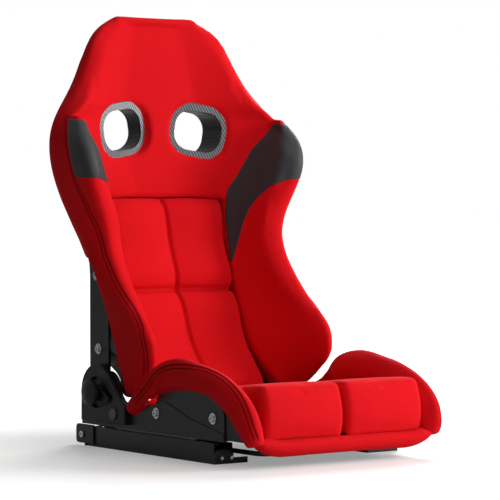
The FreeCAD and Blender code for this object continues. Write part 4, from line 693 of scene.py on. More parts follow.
@dataclass(frozen=True)
class KnitFinish:
    """Stretch cloth of fine loops over foam, with painted shade along its seams."""

    name: str
    yarn: Colour
    # Gap colour: the knit's loop gaps, and also the painted shade in the seam grooves.
    gap: Colour
    faded: Colour
    pitch: float
    depth: float
    rough: float
    sheen: float
    pile: float = 0.0
    wear: float = 0.55
    painted_seam_shade: float = 0.75
    rough_spread: float = 0.05

    def build(self, patterns: Patterns) -> bpy.types.Material:
        """Make the material.

        Args:
            patterns: Shared node groups.

        Returns:
            The material.
        """
        finish = Finish(self.name)
        graph = finish.graph
        loops = finish.group(patterns.knit, finish.map, Pitch=self.pitch)
        grain = finish.group(patterns.grain, finish.place, Cells=1500.0, Spots=7.0)
        worn = graph.mix(graph.ramp(grain.outputs["Mottle"], 0.0, 1.0, 0.0, self.wear),
                         self.yarn, self.faded)
        # Painted shade: the seam attribute moves the colour towards the gap colour in the seam grooves
        # and stitch rows; the loop gaps use the same colour as part of the knit pattern.
        seam = graph.add("ShaderNodeAttribute", attribute_name="seam")
        gaps = graph.math("MULTIPLY", loops.outputs["Gap"], 0.5 - 0.4 * self.pile)
        gaps_and_painted_shade = graph.math("MAXIMUM", gaps,
                                graph.math("MULTIPLY", seam.outputs["Fac"], self.painted_seam_shade))
        finish.colour(graph.mix(gaps_and_painted_shade, worn, self.gap))
        finish.set(Sheen_Weight=self.sheen, Sheen_Roughness=0.40, Sheen_Tint=(1.0, 0.16, 0.18, 1.0),
                   Specular_IOR_Level=0.07)
        finish.roughness(graph.ramp(grain.outputs["Mottle"], 0.0, 1.0, self.rough - self.rough_spread,
                                    self.rough + self.rough_spread))
        pile = finish.bump(grain.outputs["Height"], self.depth * (0.5 + self.pile))
        finish.bump(loops.outputs["Height"], self.depth, 0.9 - 0.5 * self.pile, pile)
        return finish.material


@dataclass(frozen=True)
class NetFinish:
    """Black spacer mesh of the shoulder patches."""

    name: str = "mesh_fabric"
    thread: Colour = (0.020, 0.020, 0.023, 1.0)
    hole: Colour = (0.004, 0.004, 0.005, 1.0)
    pitch: float = 0.0026

    def build(self, patterns: Patterns) -> bpy.types.Material:
        """Make the material.

        Args:
            patterns: Shared node groups.

        Returns:
            The material.
        """
        finish = Finish(self.name)
        graph = finish.graph
        net = finish.group(patterns.net, finish.map, Pitch=self.pitch)
        grain = finish.group(patterns.grain, finish.place, Cells=2200.0, Spots=16.0)
        finish.colour(graph.mix(net.outputs["Hole"], self.thread, self.hole))
        finish.roughness(graph.ramp(grain.outputs["Mottle"], 0.0, 1.0, 0.44, 0.56))
        finish.set(Sheen_Weight=0.10, Sheen_Roughness=0.35, Specular_IOR_Level=0.45)
        fuzz = finish.bump(grain.outputs["Height"], 0.00008)
        finish.bump(net.outputs["Height"], 0.0004, 0.8, fuzz)
        return finish.material


@dataclass(frozen=True)
class MouldedFinish:
    """Moulded plastic or steel, painted or bare: grain, mottle and light scuffs."""

    name: str
    colour: Colour
    worn: Colour
    rough: float
    depth: float
    cells: float = 900.0
    coat: float = 0.0
    specular: float = 0.30
    metallic: float = 0.0
    scuff: float = 0.35
    wear: float = 0.25

    def build(self, patterns: Patterns) -> bpy.types.Material:
        """Make the material.

        Args:
            patterns: Shared node groups.

        Returns:
            The material.
        """
        finish = Finish(self.name)
        graph = finish.graph
        grain = finish.group(patterns.grain, finish.place, Cells=self.cells, Spots=11.0)
        scuffs = finish.group(patterns.scuffs, finish.place, Lines=240.0)
        mottled = graph.mix(graph.ramp(grain.outputs["Mottle"], 0.0, 1.0, 0.0, self.wear),
                            self.colour, self.worn)
        mask = graph.math("MULTIPLY", scuffs.outputs["Mask"], self.scuff)
        finish.colour(graph.mix(mask, mottled, self.worn))
        base = graph.ramp(grain.outputs["Mottle"], 0.0, 1.0, self.rough - 0.04, self.rough + 0.05)
        finish.roughness(graph.math("ADD", base, graph.math("MULTIPLY", mask, 0.2)))
        finish.set(Metallic=self.metallic, Coat_Weight=self.coat, Coat_Roughness=0.12,
                   Specular_IOR_Level=self.specular)
        finish.bump(grain.outputs["Height"], self.depth)
        return finish.material


@dataclass(frozen=True)
class TwillFinish:
    """Woven-look lacquered trim of the harness openings."""

    name: str = "bezel_twill"
    warp: Colour = (0.13, 0.13, 0.145, 1.0)
    weft: Colour = (0.006, 0.006, 0.007, 1.0)
    bore: Colour = (0.012, 0.012, 0.013, 1.0)
    pitch: float = 0.0020
    slant_deg: float = 105.0

    def build(self, patterns: Patterns) -> bpy.types.Material:
        """Make the material.

        Args:
            patterns: Shared node groups.

        Returns:
            The material.
        """
        finish = Finish(self.name)
        graph = finish.graph
        upright = graph.add("ShaderNodeMapping")
        upright.inputs["Rotation"].default_value = (math.radians(-90.0), 0.0, 0.0)
        graph.link(finish.place, upright.inputs["Vector"])
        turn = graph.add("ShaderNodeMapping")
        turn.inputs["Rotation"].default_value = (0.0, 0.0, math.radians(self.slant_deg))
        graph.link(upright.outputs[0], turn.inputs["Vector"])
        weave = finish.group(patterns.twill, turn.outputs[0], Pitch=self.pitch)
        grain = finish.group(patterns.grain, finish.place, Cells=300.0, Spots=30.0)
        facing = graph.math("ABSOLUTE", graph.split(finish.normal)["Y"])
        face = graph.ramp(facing, 0.45, 0.70)
        woven = graph.mix(weave.outputs["Warp"], self.weft, self.warp)
        finish.colour(graph.mix(face, self.bore, woven))
        finish.roughness(graph.ramp(weave.outputs["Warp"], 0.0, 1.0, 0.50, 0.30))
        finish.set(Coat_Weight=0.15, Coat_Roughness=0.10, Specular_IOR_Level=0.25)
        bright = graph.math("MULTIPLY", weave.outputs["Warp"], face)
        graph.link(graph.math("MULTIPLY", bright, 0.35), finish.shader.inputs["Metallic"])
        lacquer = finish.bump(grain.outputs["Height"], 0.00003)
        finish.bump(weave.outputs["Height"], 0.00015, 0.7, lacquer)
        return finish.material


class Finishes:
    """Every finish of the seat by material slot."""

    def __init__(self) -> None:
        """Build the groups and the materials."""
        patterns = Patterns()
        painted = dict(depth=0.00005, cells=1100.0, coat=0.1)
        metal = dict(depth=0.00003, cells=700.0, metallic=1.0)
        self.by_slot = {
            Slot.RED_FABRIC: KnitFinish(
                "red_fabric", yarn=(0.72, 0.0035, 0.0080, 1), gap=(0.10, 0.001, 0.002, 1),
                faded=(0.77, 0.0060, 0.0110, 1), pitch=0.0012, depth=0.00018, rough=0.78, sheen=0.08),
            Slot.RED_SUEDE: KnitFinish(
                "red_suede", yarn=(0.72, 0.0045, 0.0090, 1), gap=(0.34, 0.001, 0.004, 1),
                faded=(0.80, 0.0080, 0.0140, 1), pitch=0.0012, depth=0.00014, rough=0.88, sheen=0.28,
                pile=0.9),
            Slot.MESH_FABRIC: NetFinish(),
            Slot.SHELL: MouldedFinish(
                "shell_plastic", colour=(0.0085, 0.0085, 0.0095, 1), worn=(0.028, 0.028, 0.030, 1),
                rough=0.42, depth=0.00006, cells=500.0, coat=0.10),
            Slot.BEZEL: TwillFinish(),
            Slot.COVER: MouldedFinish(
                "cover_plastic", colour=(0.009, 0.009, 0.010, 1), worn=(0.030, 0.030, 0.032, 1),
                rough=0.46, depth=0.00008, cells=1400.0),
            Slot.CAP: MouldedFinish(
                "cap_plastic", colour=(0.022, 0.013, 0.020, 1), worn=(0.06, 0.05, 0.06, 1),
                rough=0.22, depth=0.00002, cells=600.0, coat=0.5),
            Slot.DIAL: MouldedFinish(
                "dial_plastic", colour=(0.010, 0.010, 0.011, 1), worn=(0.034, 0.034, 0.036, 1),
                rough=0.42, depth=0.00008, cells=1500.0),
            Slot.NYLON: MouldedFinish(
                "nylon", colour=(0.70, 0.69, 0.64, 1), worn=(0.55, 0.52, 0.45, 1), rough=0.5,
                depth=0.00004),
            Slot.BRACKET: MouldedFinish(
                "bracket_steel", colour=(0.010, 0.010, 0.011, 1), worn=(0.036, 0.036, 0.038, 1),
                rough=0.40, **painted),
            Slot.RAIL: MouldedFinish(
                "rail_steel", colour=(0.011, 0.011, 0.012, 1), worn=(0.038, 0.038, 0.040, 1),
                rough=0.36, **painted),
            Slot.ZINC: MouldedFinish(
                "zinc_steel", colour=(0.60, 0.63, 0.66, 1), worn=(0.42, 0.43, 0.42, 1), rough=0.24,
                scuff=0.5, **metal),
            Slot.BARE: MouldedFinish(
                "bare_steel", colour=(0.42, 0.42, 0.43, 1), worn=(0.30, 0.29, 0.28, 1), rough=0.36,
                scuff=0.6, **metal),
        }
        self.made = {slot: finish.build(patterns) for slot, finish in self.by_slot.items()}
        self.thread = KnitFinish(
            "seam_thread", yarn=(0.11, 0.001, 0.003, 1), gap=(0.05, 0.001, 0.001, 1),
            faded=(0.15, 0.002, 0.004, 1), pitch=0.0008, depth=0.00005, rough=0.7,
            sheen=0.05).build(patterns)

    def dress(self, piece: bpy.types.Object, slot: Slot, body: str) -> None:
        """Give a new piece its material, slot and body.

        Args:
            piece: The piece, finished and at the origin.
            slot: Its material slot.
            body: The body that it moves with.
        """
        piece.data.materials.clear()
        piece.data.materials.append(self.made[slot])
        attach(piece, body)

    def dress_nodes(self, frame: dict) -> None:
        """Give every CAD node the finish of its recorded slot.
        """
        slots = {row["node"]: row["material_slot"] for row in frame["record"]["subparts"]}
        for name, node in frame["nodes"].items():
            material = self.made[Slot(slots[name])]
            if not node.material_slots:
                node.data.materials.append(material)
            for place in node.material_slots:
                place.material = material


# Padded pieces


@dataclass
class Seam:
    """A sewn line on a padded piece.

    The points are millimetres on the +X half, in order along the seam. Depth and reach are the depth
    and half width of its groove in metres, and its shade value is the strength of the painted shade
    along the groove. The rows are the distances of the stitch rows from it, each with a groove of its
    own that gets painted shade in full, and the rounds say how often the pulled lines are evened out.
    """

    points: list[Point]
    depth: float = 0.0020
    reach: float = 0.0065
    rows: tuple[float, ...] = ()
    row_depth: float = 0.0008
    row_reach: float = 0.0028
    # Strength of the painted shade along the seam's groove.
    painted_groove_shade: float = 0.15
    line_rounds: int = 3
    row_rounds: int = 4

    def mirrored(self) -> "Seam":
        """The same seam on the -X half."""
        return replace(self, points=[(-x, y, z) for x, y, z in self.points])

    def line(self, tree: BVHTree, step: float = 0.0015) -> np.ndarray:
        """Seam points pulled on to a surface.

        Args:
            tree: Search tree of the padded piece.
            step: Distance between points.

        Returns:
            Evenly spaced points on the surface.
        """
        rough = resample(np.array(self.points) * MM, ROUTE_STEP)
        pulled = np.array([tree.find_nearest(Vector(p))[0] for p in rough])
        soften(pulled, self.line_rounds)
        return resample(pulled, step)

    def beside(self, tree: BVHTree, line: np.ndarray, shift: float) -> np.ndarray:
        """A line at one side of the seam, on the surface.

        Args:
            tree: Search tree of the padded piece.
            line: The seam's own points.
            shift: Distance to the side, with its sign.

        Returns:
            The shifted points.
        """
        if shift == 0.0:
            return line
        tangents = np.gradient(line, axis=0)
        moved = []
        for place, tangent in zip(line, tangents):
            normal = tree.find_nearest(Vector(place))[1]
            side = Vector(tangent).normalized().cross(normal)
            moved.append(tree.find_nearest(Vector(place) + side * shift)[0])
        moved = np.array(moved)
        soften(moved, self.row_rounds)
        return moved


class Sewing:
    """Carves seams into padded pieces, paints shade along the grooves, and lays the stitches in them."""

    STITCH_LENGTH = 0.0036
    STITCH_WIDTH = 0.00095
    STITCH_PITCH = 0.0050
    ROW_SKIP = 3

    def __init__(self) -> None:
        """Model the one stitch that every row copies."""
        bpy.ops.object.select_all(action="DESELECT")
        bpy.ops.mesh.primitive_uv_sphere_add(segments=8, ring_count=5, radius=0.5)
        base = bpy.context.active_object
        base.scale = (self.STITCH_LENGTH, self.STITCH_WIDTH, self.STITCH_WIDTH)
        bpy.ops.object.transform_apply(location=False, rotation=False, scale=True)
        self.stitch = coordinates(base).copy()
        self.faces = [tuple(p.vertices) for p in base.data.polygons]
        bpy.data.objects.remove(base)

    @staticmethod
    def refine(piece: bpy.types.Object, line: np.ndarray, reach: float) -> None:
        """Divide the faces beside a line once, so that narrow grooves show.

        Args:
            piece: The padded piece.
            line: Points of the seam.
            reach: Half width of the strip.
        """
        tree = point_tree(line)
        low = Vector(line.min(0) - reach)
        high = Vector(line.max(0) + reach)
        work = bmesh.new()
        work.from_mesh(piece.data)
        edges = set()
        for face in work.faces:
            middle = face.calc_center_median()
            if all(low[axis] < middle[axis] < high[axis] for axis in range(3)):
                if tree.find(middle)[2] < reach:
                    edges.update(face.edges)
        bmesh.ops.subdivide_edges(work, edges=list(edges), cuts=1, use_grid_fill=True)
        work.to_mesh(piece.data)
        work.free()

    @staticmethod
    def groove(piece: bpy.types.Object, line: np.ndarray, depth: float, reach: float,
               painted_groove_shade: float) -> None:
        """Press a soft groove into a piece along a line, and paint shade along it in the seam attribute.

        Args:
            piece: The padded piece.
            line: Points of the groove.
            depth: How far the middle goes in.
            reach: Half width of the groove.
            painted_groove_shade: Strength of the painted shade at the middle, 0 to 1.
        """
        tree = point_tree(line)
        places = coordinates(piece).copy()
        normals = normals_of(piece)
        low = line.min(0) - reach
        high = line.max(0) + reach
        near = np.where(np.all((places > low) & (places < high), axis=1))[0]
        # Painted shade: the seam attribute holds how far the colour goes towards the gap colour,
        # strongest at the groove's middle.
        painted_shade = piece.data.attributes.get("seam") or piece.data.attributes.new("seam", "FLOAT", "POINT")
        for index in near:
            gap = tree.find(places[index])[2]
            if gap < reach:
                share = 0.5 + 0.5 * math.cos(math.pi * gap / reach)
                places[index] -= normals[index] * depth * share
                painted_shade.data[int(index)].value = max(painted_shade.data[int(index)].value,
                                                   painted_groove_shade * min(1.0, PAINTED_SHADE_SPREAD * (1.0 - gap / reach)))
        set_coordinates(piece, places)

    def sew(self, piece: bpy.types.Object, seam: Seam) -> list[np.ndarray]:
        """Carve a seam and its stitch rows.

        Args:
            piece: The padded piece.
            seam: The seam.

        Returns:
            The stitch lines, for the thread.
        """
        tree = surface_tree(piece)
        line = seam.line(tree)
        rows = [seam.beside(tree, line, shift) for shift in seam.rows]
        self.refine(piece, line, max([abs(shift) for shift in seam.rows] or [0.0]) + STRIP_MARGIN)
        self.groove(piece, line, seam.depth, seam.reach, seam.painted_groove_shade)
        for row in rows:
            # Stitch rows get painted shade at full strength.
            self.groove(piece, row, seam.row_depth, seam.row_reach, 1.0)
        return rows

    def thread(self, name: str, piece: bpy.types.Object, rows: list[np.ndarray]) -> bpy.types.Object:
        """Stitches along the rows of a piece, as one mesh.

        Args:
            name: Name of the new piece.
            piece: The padded piece that they hold.
            rows: Stitch lines.

        Returns:
            The thread object.
        """
        tree = surface_tree(piece)
        places = []
        faces = []
        for row in rows:
            spots = resample(row[::self.ROW_SKIP], self.STITCH_PITCH)
            tangents = np.gradient(spots, axis=0)
            for spot, tangent in zip(spots[1:-1], tangents[1:-1]):
                hit, normal, _, _ = tree.find_nearest(Vector(spot))
                along = (Vector(tangent) - normal * Vector(tangent).dot(normal)).normalized()
                across = normal.cross(along)
                turn = np.array([along, across, normal])
                start = len(places) * len(self.stitch)
                places.append(self.stitch @ turn + np.array(hit) + np.array(normal) * STITCH_LIFT)
                faces.extend([tuple(i + start for i in face) for face in self.faces])
        return mesh_object(name, np.vstack(places), faces)


@dataclass
class Cushion:
    """A padded piece made from the space of its CAD solid.

    Args:
        name: Name of the new piece.
        nodes: The CAD nodes that it stands for.
        body: The body that it moves with.
        slot: Its material slot.
        voxel: Mesh size in metres.
        shrink: How far the skin starts inside the solid.
        cap: How far the pressure may move a point.
        fill: Tightness, 0 to 1; not used.
        relax: Smoothing steps after the remesh.
        grow: How far the solid is thickened before the remesh, for thin parts.
        settle: Smoothing steps after the pressure.
        stiffness: How hard the skin is to bend.
        raise_top: How far the top edge is pulled up, to meet the piece above it.
        raise_reach: How far below the top edge that pull fades out.
        seams: Sewn lines.
    """

    name: str
    nodes: tuple[str, ...]
    body: str
    slot: Slot = Slot.RED_FABRIC
    voxel: float = 0.0048
    shrink: float = 0.0015
    cap: float = 0.006
    fill: float = 0.9
    relax: int = 4
    grow: float = 0.0
    settle: int = 2
    stiffness: float = 1.5
    raise_top: float = 0.0
    raise_reach: float = 0.040
    seams: list[Seam] = field(default_factory=list)

    def blank(self, frame: dict) -> bpy.types.Object:
        """Closed mesh of the space that the padding fills.


        Returns:
            The new object.
        """
        return merged_copy(frame["nodes"][self.nodes[0]], self.name)

    def form(self, frame: dict) -> bpy.types.Object:
        """Remeshed copy of the solid, a little smaller.


        Returns:
            The new object.
        """
        piece = self.blank(frame)
        if self.grow:
            set_coordinates(piece, coordinates(piece) + normals_of(piece) * self.grow)
        voxel_remesh(piece, self.voxel)
        smooth(piece, self.relax)
        places = coordinates(piece) - normals_of(piece) * self.shrink
        top = places[:, 2].max()
        share = np.clip(1.0 - (top - places[:, 2]) / self.raise_reach, 0.0, 1.0)
        places[:, 2] += self.raise_top * share
        set_coordinates(piece, places)
        return piece

    def trim(self, piece: bpy.types.Object, frame: dict) -> None:
        """Last changes of shape before the seams; a plain cushion has none.

        Args:
            piece: The inflated piece.
        """

    def inflate(self, piece: bpy.types.Object) -> None:
        """Press the skin outwards by a cloth simulation, within the cap.

        Args:
            piece: The remeshed piece.
        """
        scene = bpy.context.scene
        rest = coordinates(piece).copy()
        modifier = piece.modifiers.new("air", "CLOTH")
        cloth = modifier.settings
        cloth.quality = 4
        cloth.mass = 0.25
        cloth.use_pressure = True
        cloth.uniform_pressure_force = 4.0
        cloth.tension_stiffness = 25.0
        cloth.compression_stiffness = 25.0
        cloth.bending_stiffness = self.stiffness
        cloth.effector_weights.gravity = 0.0
        modifier.collision_settings.use_self_collision = False
        modifier.collision_settings.use_collision = False
        modifier.point_cache.frame_start = 1
        modifier.point_cache.frame_end = PRESSURE_FRAMES
        for number in range(1, PRESSURE_FRAMES + 1):
            scene.frame_set(number)
        shown = piece.evaluated_get(bpy.context.evaluated_depsgraph_get())
        flat = np.empty(len(rest) * 3, np.float32)
        shown.data.vertices.foreach_get("co", flat)
        piece.modifiers.remove(modifier)
        scene.frame_set(1)
        offset = flat.reshape(-1, 3) - rest
        length = np.linalg.norm(offset, axis=1, keepdims=True)
        set_coordinates(piece, rest + offset * np.minimum(1.0, self.cap / np.maximum(length, TINY)))

    def build(self, frame: dict, sewing: Sewing) -> tuple[bpy.types.Object, list[np.ndarray]]:
        """Form, inflate, subdivide and sew the piece.

        Args:
            sewing: The seam carver.

        Returns:
            The piece and its stitch rows.
        """
        piece = self.form(frame)
        self.inflate(piece)
        smooth(piece, self.settle)
        self.trim(piece, frame)
        apply_modifier(piece, "SUBSURF", levels=1, render_levels=1)
        rows = []
        for seam in self.seams:
            rows.extend(sewing.sew(piece, seam))
        in_edit_mode(piece, bpy.ops.uv.cube_project, cube_size=1.0, scale_to_bounds=False)
        shade(piece)
        return piece, rows


@dataclass
class BackCover(Cushion):
    """One cover over the head, both wings and the sides and top of the shell.

    A band wraps the shell from the wings' outer edge to a rear edge. Each row of band_rows holds a
    height, the shell's front edge, the band's rear edge and how far the band stands out at the
    shell's front edge, in millimetres. Each row of nose_rows holds a height, the front of the wing
    there, and how far its inner and outer faces swell. The probe values say where the shell is looked
    for under the cover, and the opening values are the outer size of the harness sleeves.
    """

    shell: str = "back_shell"
    band_rows: tuple[tuple[float, ...], ...] = (
        (402, 213, 258, 10), (430, 220, 284, 14), (470, 231, 311, 17), (530, 251, 328, 16.5),
        (600, 266, 340, 16), (670, 266, 345, 17), (700, 265, 347, 16), (725, 266, 350, 12),
        (750, 272, 354, 8), (780, 282, 358, 7), (850, 300, 363, 7), (905, 315, 366, 7),
        (929, 322, 366, 7))
    band_grow: float = 0.0015
    band_voxel: float = 0.0035
    band_skin: float = 0.0045
    band_front: float = 0.100
    band_top: float = 0.980
    band_half: float = 0.350
    shell_axis: float = 0.200
    roof_height: float = 0.860
    roof_slope: float = 0.5
    nose_rows: tuple[tuple[float, ...], ...] = (
        (150, 22, 2, 5), (200, -19, 2, 7), (250, -7, 3, 7), (300, 41, 8, 5), (350, 93, 12, 3),
        (400, 133, 15, 0), (450, 155, 17, 0), (560, 153, 17, 0), (640, 160, 14, 0), (690, 195, 0, 0))
    nose_rise: float = 0.016
    nose_reach: float = 0.100
    nose_start: float = 0.25
    nose_smoothing: int = 3
    wing_inside: float = 0.150
    probe_floor: float = 0.730
    probe_rear: float = 0.007
    probe_step: float = 0.004
    probe_margin: float = 0.0016
    probe_reach: float = 0.016
    push_rounds: int = 3
    opening_middle: tuple[float, float] = (0.1015, 0.683)
    opening_half: tuple[float, float] = (0.0620, 0.0495)
    opening_corner: float = 0.0425
    opening_tilt_deg: float = 9.0
    opening_front: float = 0.200

    def form(self, frame: dict) -> bpy.types.Object:
        """Remeshed skin with the wings' front edges swelled.


        Returns:
            The new object.
        """
        piece = super().form(frame)
        places = coordinates(piece).copy()
        rows = np.array(self.nose_rows) * MM
        tip, inner, outer = (np.interp(places[:, 2], rows[:, 0], rows[:, column])
                             for column in (1, 2, 3))
        behind = places[:, 1] - tip
        rise = np.clip(behind / self.nose_rise, self.nose_start, 1.0)
        fall = np.clip(1.0 - (behind - self.nose_rise) / self.nose_reach, 0.0, 1.0)
        swell = rise * fall * fall * (3.0 - 2.0 * fall)
        normal_x = normals_of(piece)[:, 0] * np.sign(places[:, 0])
        facing = np.clip(normal_x, -1.0, 1.0)
        wing = np.abs(places[:, 0]) > self.wing_inside
        shift = np.where(facing < 0.0, inner * facing, outer * facing) * swell * wing
        places[:, 0] += shift * np.sign(places[:, 0])
        set_coordinates(piece, places)
        smooth(piece, self.nose_smoothing)
        return piece

    def trim(self, piece: bpy.types.Object, frame: dict) -> None:
        """Keep the cover outside the shell's upper edge and out of the harness openings.

        Args:
            piece: The inflated cover.
        """
        probes = self.probes(frame)
        for _ in range(self.push_rounds):
            self.push_out(piece, probes)
        self.clear_openings(piece)

    def probes(self, frame: dict) -> np.ndarray:
        """Points on the shell's upper part that the cover has to hide.


        Returns:
            One row per point.
        """
        shell = merged_copy(frame["nodes"][self.shell], "shell_probe")
        corners = coordinates(shell)
        points = [corners]
        for edge in shell.data.edges:
            start, end = corners[edge.vertices[0]], corners[edge.vertices[1]]
            count = int(np.linalg.norm(end - start) / self.probe_step)
            if count:
                shares = np.linspace(0.0, 1.0, count + 2)[1:-1, None]
                points.append(start + shares * (end - start))
        bpy.data.objects.remove(shell)
        points = np.vstack(points)
        rows = np.array(self.band_rows) * MM
        rear = np.interp(points[:, 2], rows[:, 0], rows[:, 2])
        return points[(points[:, 2] > self.probe_floor) & (points[:, 1] < rear - self.probe_rear)]

    def push_out(self, piece: bpy.types.Object, probes: np.ndarray) -> None:
        """Push the cover out where the shell comes through it.

        Args:
            piece: The cover.
            probes: Points on the shell.
        """
        tree = surface_tree(piece)
        found = []
        for probe in probes:
            hit, normal, _, _ = tree.find_nearest(Vector(probe))
            over = (Vector(probe) - hit).dot(normal) + self.probe_margin
            if 0.0 < over < self.probe_reach:
                found.append((hit, over))
        if not found:
            return
        near = point_tree([hit for hit, _ in found])
        places = coordinates(piece).copy()
        normals = normals_of(piece)
        for index in np.nonzero(places[:, 2] > self.probe_floor - self.probe_reach)[0]:
            lift = 0.0
            for _, number, gap in near.find_range(places[index], self.probe_reach):
                lift = max(lift, found[number][1] * (1.0 - (gap / self.probe_reach) ** 2))
            places[index] += normals[index] * lift
        set_coordinates(piece, places)

    def clear_openings(self, piece: bpy.types.Object) -> None:
        """Push the cover off the sleeves of the harness openings.

        Args:
            piece: The cover.
        """
        places = coordinates(piece).copy()
        middle_x, middle_z = self.opening_middle
        half_x, half_z = self.opening_half
        tilt = math.radians(self.opening_tilt_deg)
        side = np.sign(places[:, 0])
        across = np.abs(places[:, 0]) - middle_x
        up = places[:, 2] - middle_z
        local = np.column_stack([across * math.cos(tilt) - up * math.sin(tilt),
                                 across * math.sin(tilt) + up * math.cos(tilt)])
        straight = np.array([half_x, half_z]) - self.opening_corner
        beyond = np.maximum(np.abs(local) - straight, 0.0)
        length = np.linalg.norm(beyond, axis=1)
        short = self.opening_corner - length
        inside = (short > 0.0) & (length > SAME_POINT) & (places[:, 1] > self.opening_front)
        away = np.sign(local) * beyond / np.maximum(length, SAME_POINT)[:, None] * short[:, None]
        away[~inside] = 0.0
        places[:, 0] += side * (away[:, 0] * math.cos(tilt) + away[:, 1] * math.sin(tilt))
        places[:, 2] += -away[:, 0] * math.sin(tilt) + away[:, 1] * math.cos(tilt)
        set_coordinates(piece, places)

    def band(self, frame: dict) -> bpy.types.Object:
        """Thickened copy of the shell's sides and top, cut off at the rear edge.


        Returns:
            The closed band.
        """
        band = merged_copy(frame["nodes"][self.shell], "side_band")
        set_coordinates(band, coordinates(band) + normals_of(band) * self.band_grow)
        voxel_remesh(band, self.band_voxel)
        places = coordinates(band).copy()
        normals = normals_of(band).copy()
        rows = np.array(self.band_rows) * MM
        front, rear, proud = (np.interp(places[:, 2], rows[:, 0], rows[:, column])
                              for column in (1, 2, 3))
        share = np.clip((places[:, 1] - front) / (rear - front), 0.0, 1.0)
        share = share * share * (3.0 - 2.0 * share)
        outward = normals[:, 0] * places[:, 0] + normals[:, 1] * (places[:, 1] - self.shell_axis)
        roof = (normals[:, 2] > self.roof_slope) & (places[:, 2] > self.roof_height)
        stand = np.where((outward > 0.0) | roof, proud + (self.band_skin - proud) * share, 0.0)
        normals[:, 1] = np.maximum(normals[:, 1], 0.0)
        set_coordinates(band, places + normals * stand[:, None])
        profile = [(self.band_front, rows[0, 0])] + [(row[2], row[0]) for row in rows]
        profile += [(rows[-1, 2], self.band_top), (self.band_front, self.band_top)]
        count = len(profile)
        vertices = [(side * self.band_half, y, z) for side in (-1.0, 1.0) for y, z in profile]
        faces = [tuple(range(count))[::-1], tuple(range(count, 2 * count))]
        faces += [(i, (i + 1) % count, (i + 1) % count + count, i + count) for i in range(count)]
        block = mesh_object("band_block", vertices, faces)
        apply_modifier(band, "BOOLEAN", operation="INTERSECT", object=block, solver="MANIFOLD")
        bpy.data.objects.remove(block)
        return band

    def blank(self, frame: dict) -> bpy.types.Object:
        """Band and foam parts as one object.


        Returns:
            The new object.
        """
        band = self.band(frame)
        parts = [merged_copy(frame["nodes"][node], node + "_foam") for node in self.nodes]
        select_only(band)
        for part in parts:
            part.select_set(True)
        bpy.ops.object.join()
        band.name = self.name
        return band


@dataclass
class FrontLip(Cushion):
    """Padded roll under the thigh pads, whose ends rise into the bolsters."""

    foot: float = 0.019
    height_share: float = 1.17
    width_share: float = 1.04
    rise_start: float = 0.150
    rise_width: float = 0.094
    rise: float = 0.027

    def form(self, frame: dict) -> bpy.types.Object:
        """Remeshed roll, made taller and bent up at both ends.


        Returns:
            The new object.
        """
        piece = super().form(frame)
        places = coordinates(piece).copy()
        places[:, 2] = self.foot + (places[:, 2] - self.foot) * self.height_share
        places[:, 0] *= self.width_share
        share = np.clip((np.abs(places[:, 0]) - self.rise_start) / self.rise_width, 0.0, 1.0)
        places[:, 2] += self.rise * share * share
        set_coordinates(piece, places)
        return piece


# Seam routes in millimetres: the wing's from the top down, the bolster's from the rear to the front


WING_SEAM = [
    (280, 252, 707), (287, 238, 692), (293, 224, 668), (294, 215, 636), (291, 209, 608), (284, 208, 578),
    (276, 201, 550), (267, 196, 529), (257, 192, 497), (249, 184, 476), (243, 174, 444), (241, 162, 412),
    (240, 140, 381), (239, 114, 350), (239, 85, 325), (239, 56, 303), (240, 31, 279), (240, 15, 255),
    (240, 5, 228), (239, 0, 208), (236, 8, 176), (230, 32, 148), (224, 66, 126),
]
BOLSTER_SEAM = [
    (246, 30, 110), (248, 2, 128), (249, -26, 149), (251, -66, 178), (251, -120, 190), (249, -172, 192),
    (245, -219, 190), (243, -267, 180), (243, -308, 162), (245, -339, 141), (246, -361, 115),
    (244, -376, 85), (236, -381, 61),
]
PAD_SEAM_DOWN = [
    (0.0, 302, 530), (0.0, 287, 484), (0.0, 267, 440), (0.0, 255, 385), (0.0, 243, 333),
    (0.0, 224, 293), (0.0, 204, 254), (0.0, 181, 215), (0.0, 158, 179), (0.0, 138, 150),
]
PAD_SEAM_ACROSS = [
    (-152.0, 238, 330), (-75.0, 236, 330), (0.0, 243, 330), (75.0, 236, 330), (152.0, 238, 330),
]


def double_seam(points: list[Point]) -> Seam:
    """A shallow seam with a row of stitches at each side of it."""
    return Seam(points, depth=0.0012, reach=0.0080, rows=(-0.0044, 0.0044), row_depth=0.0016,
                row_reach=0.0026)


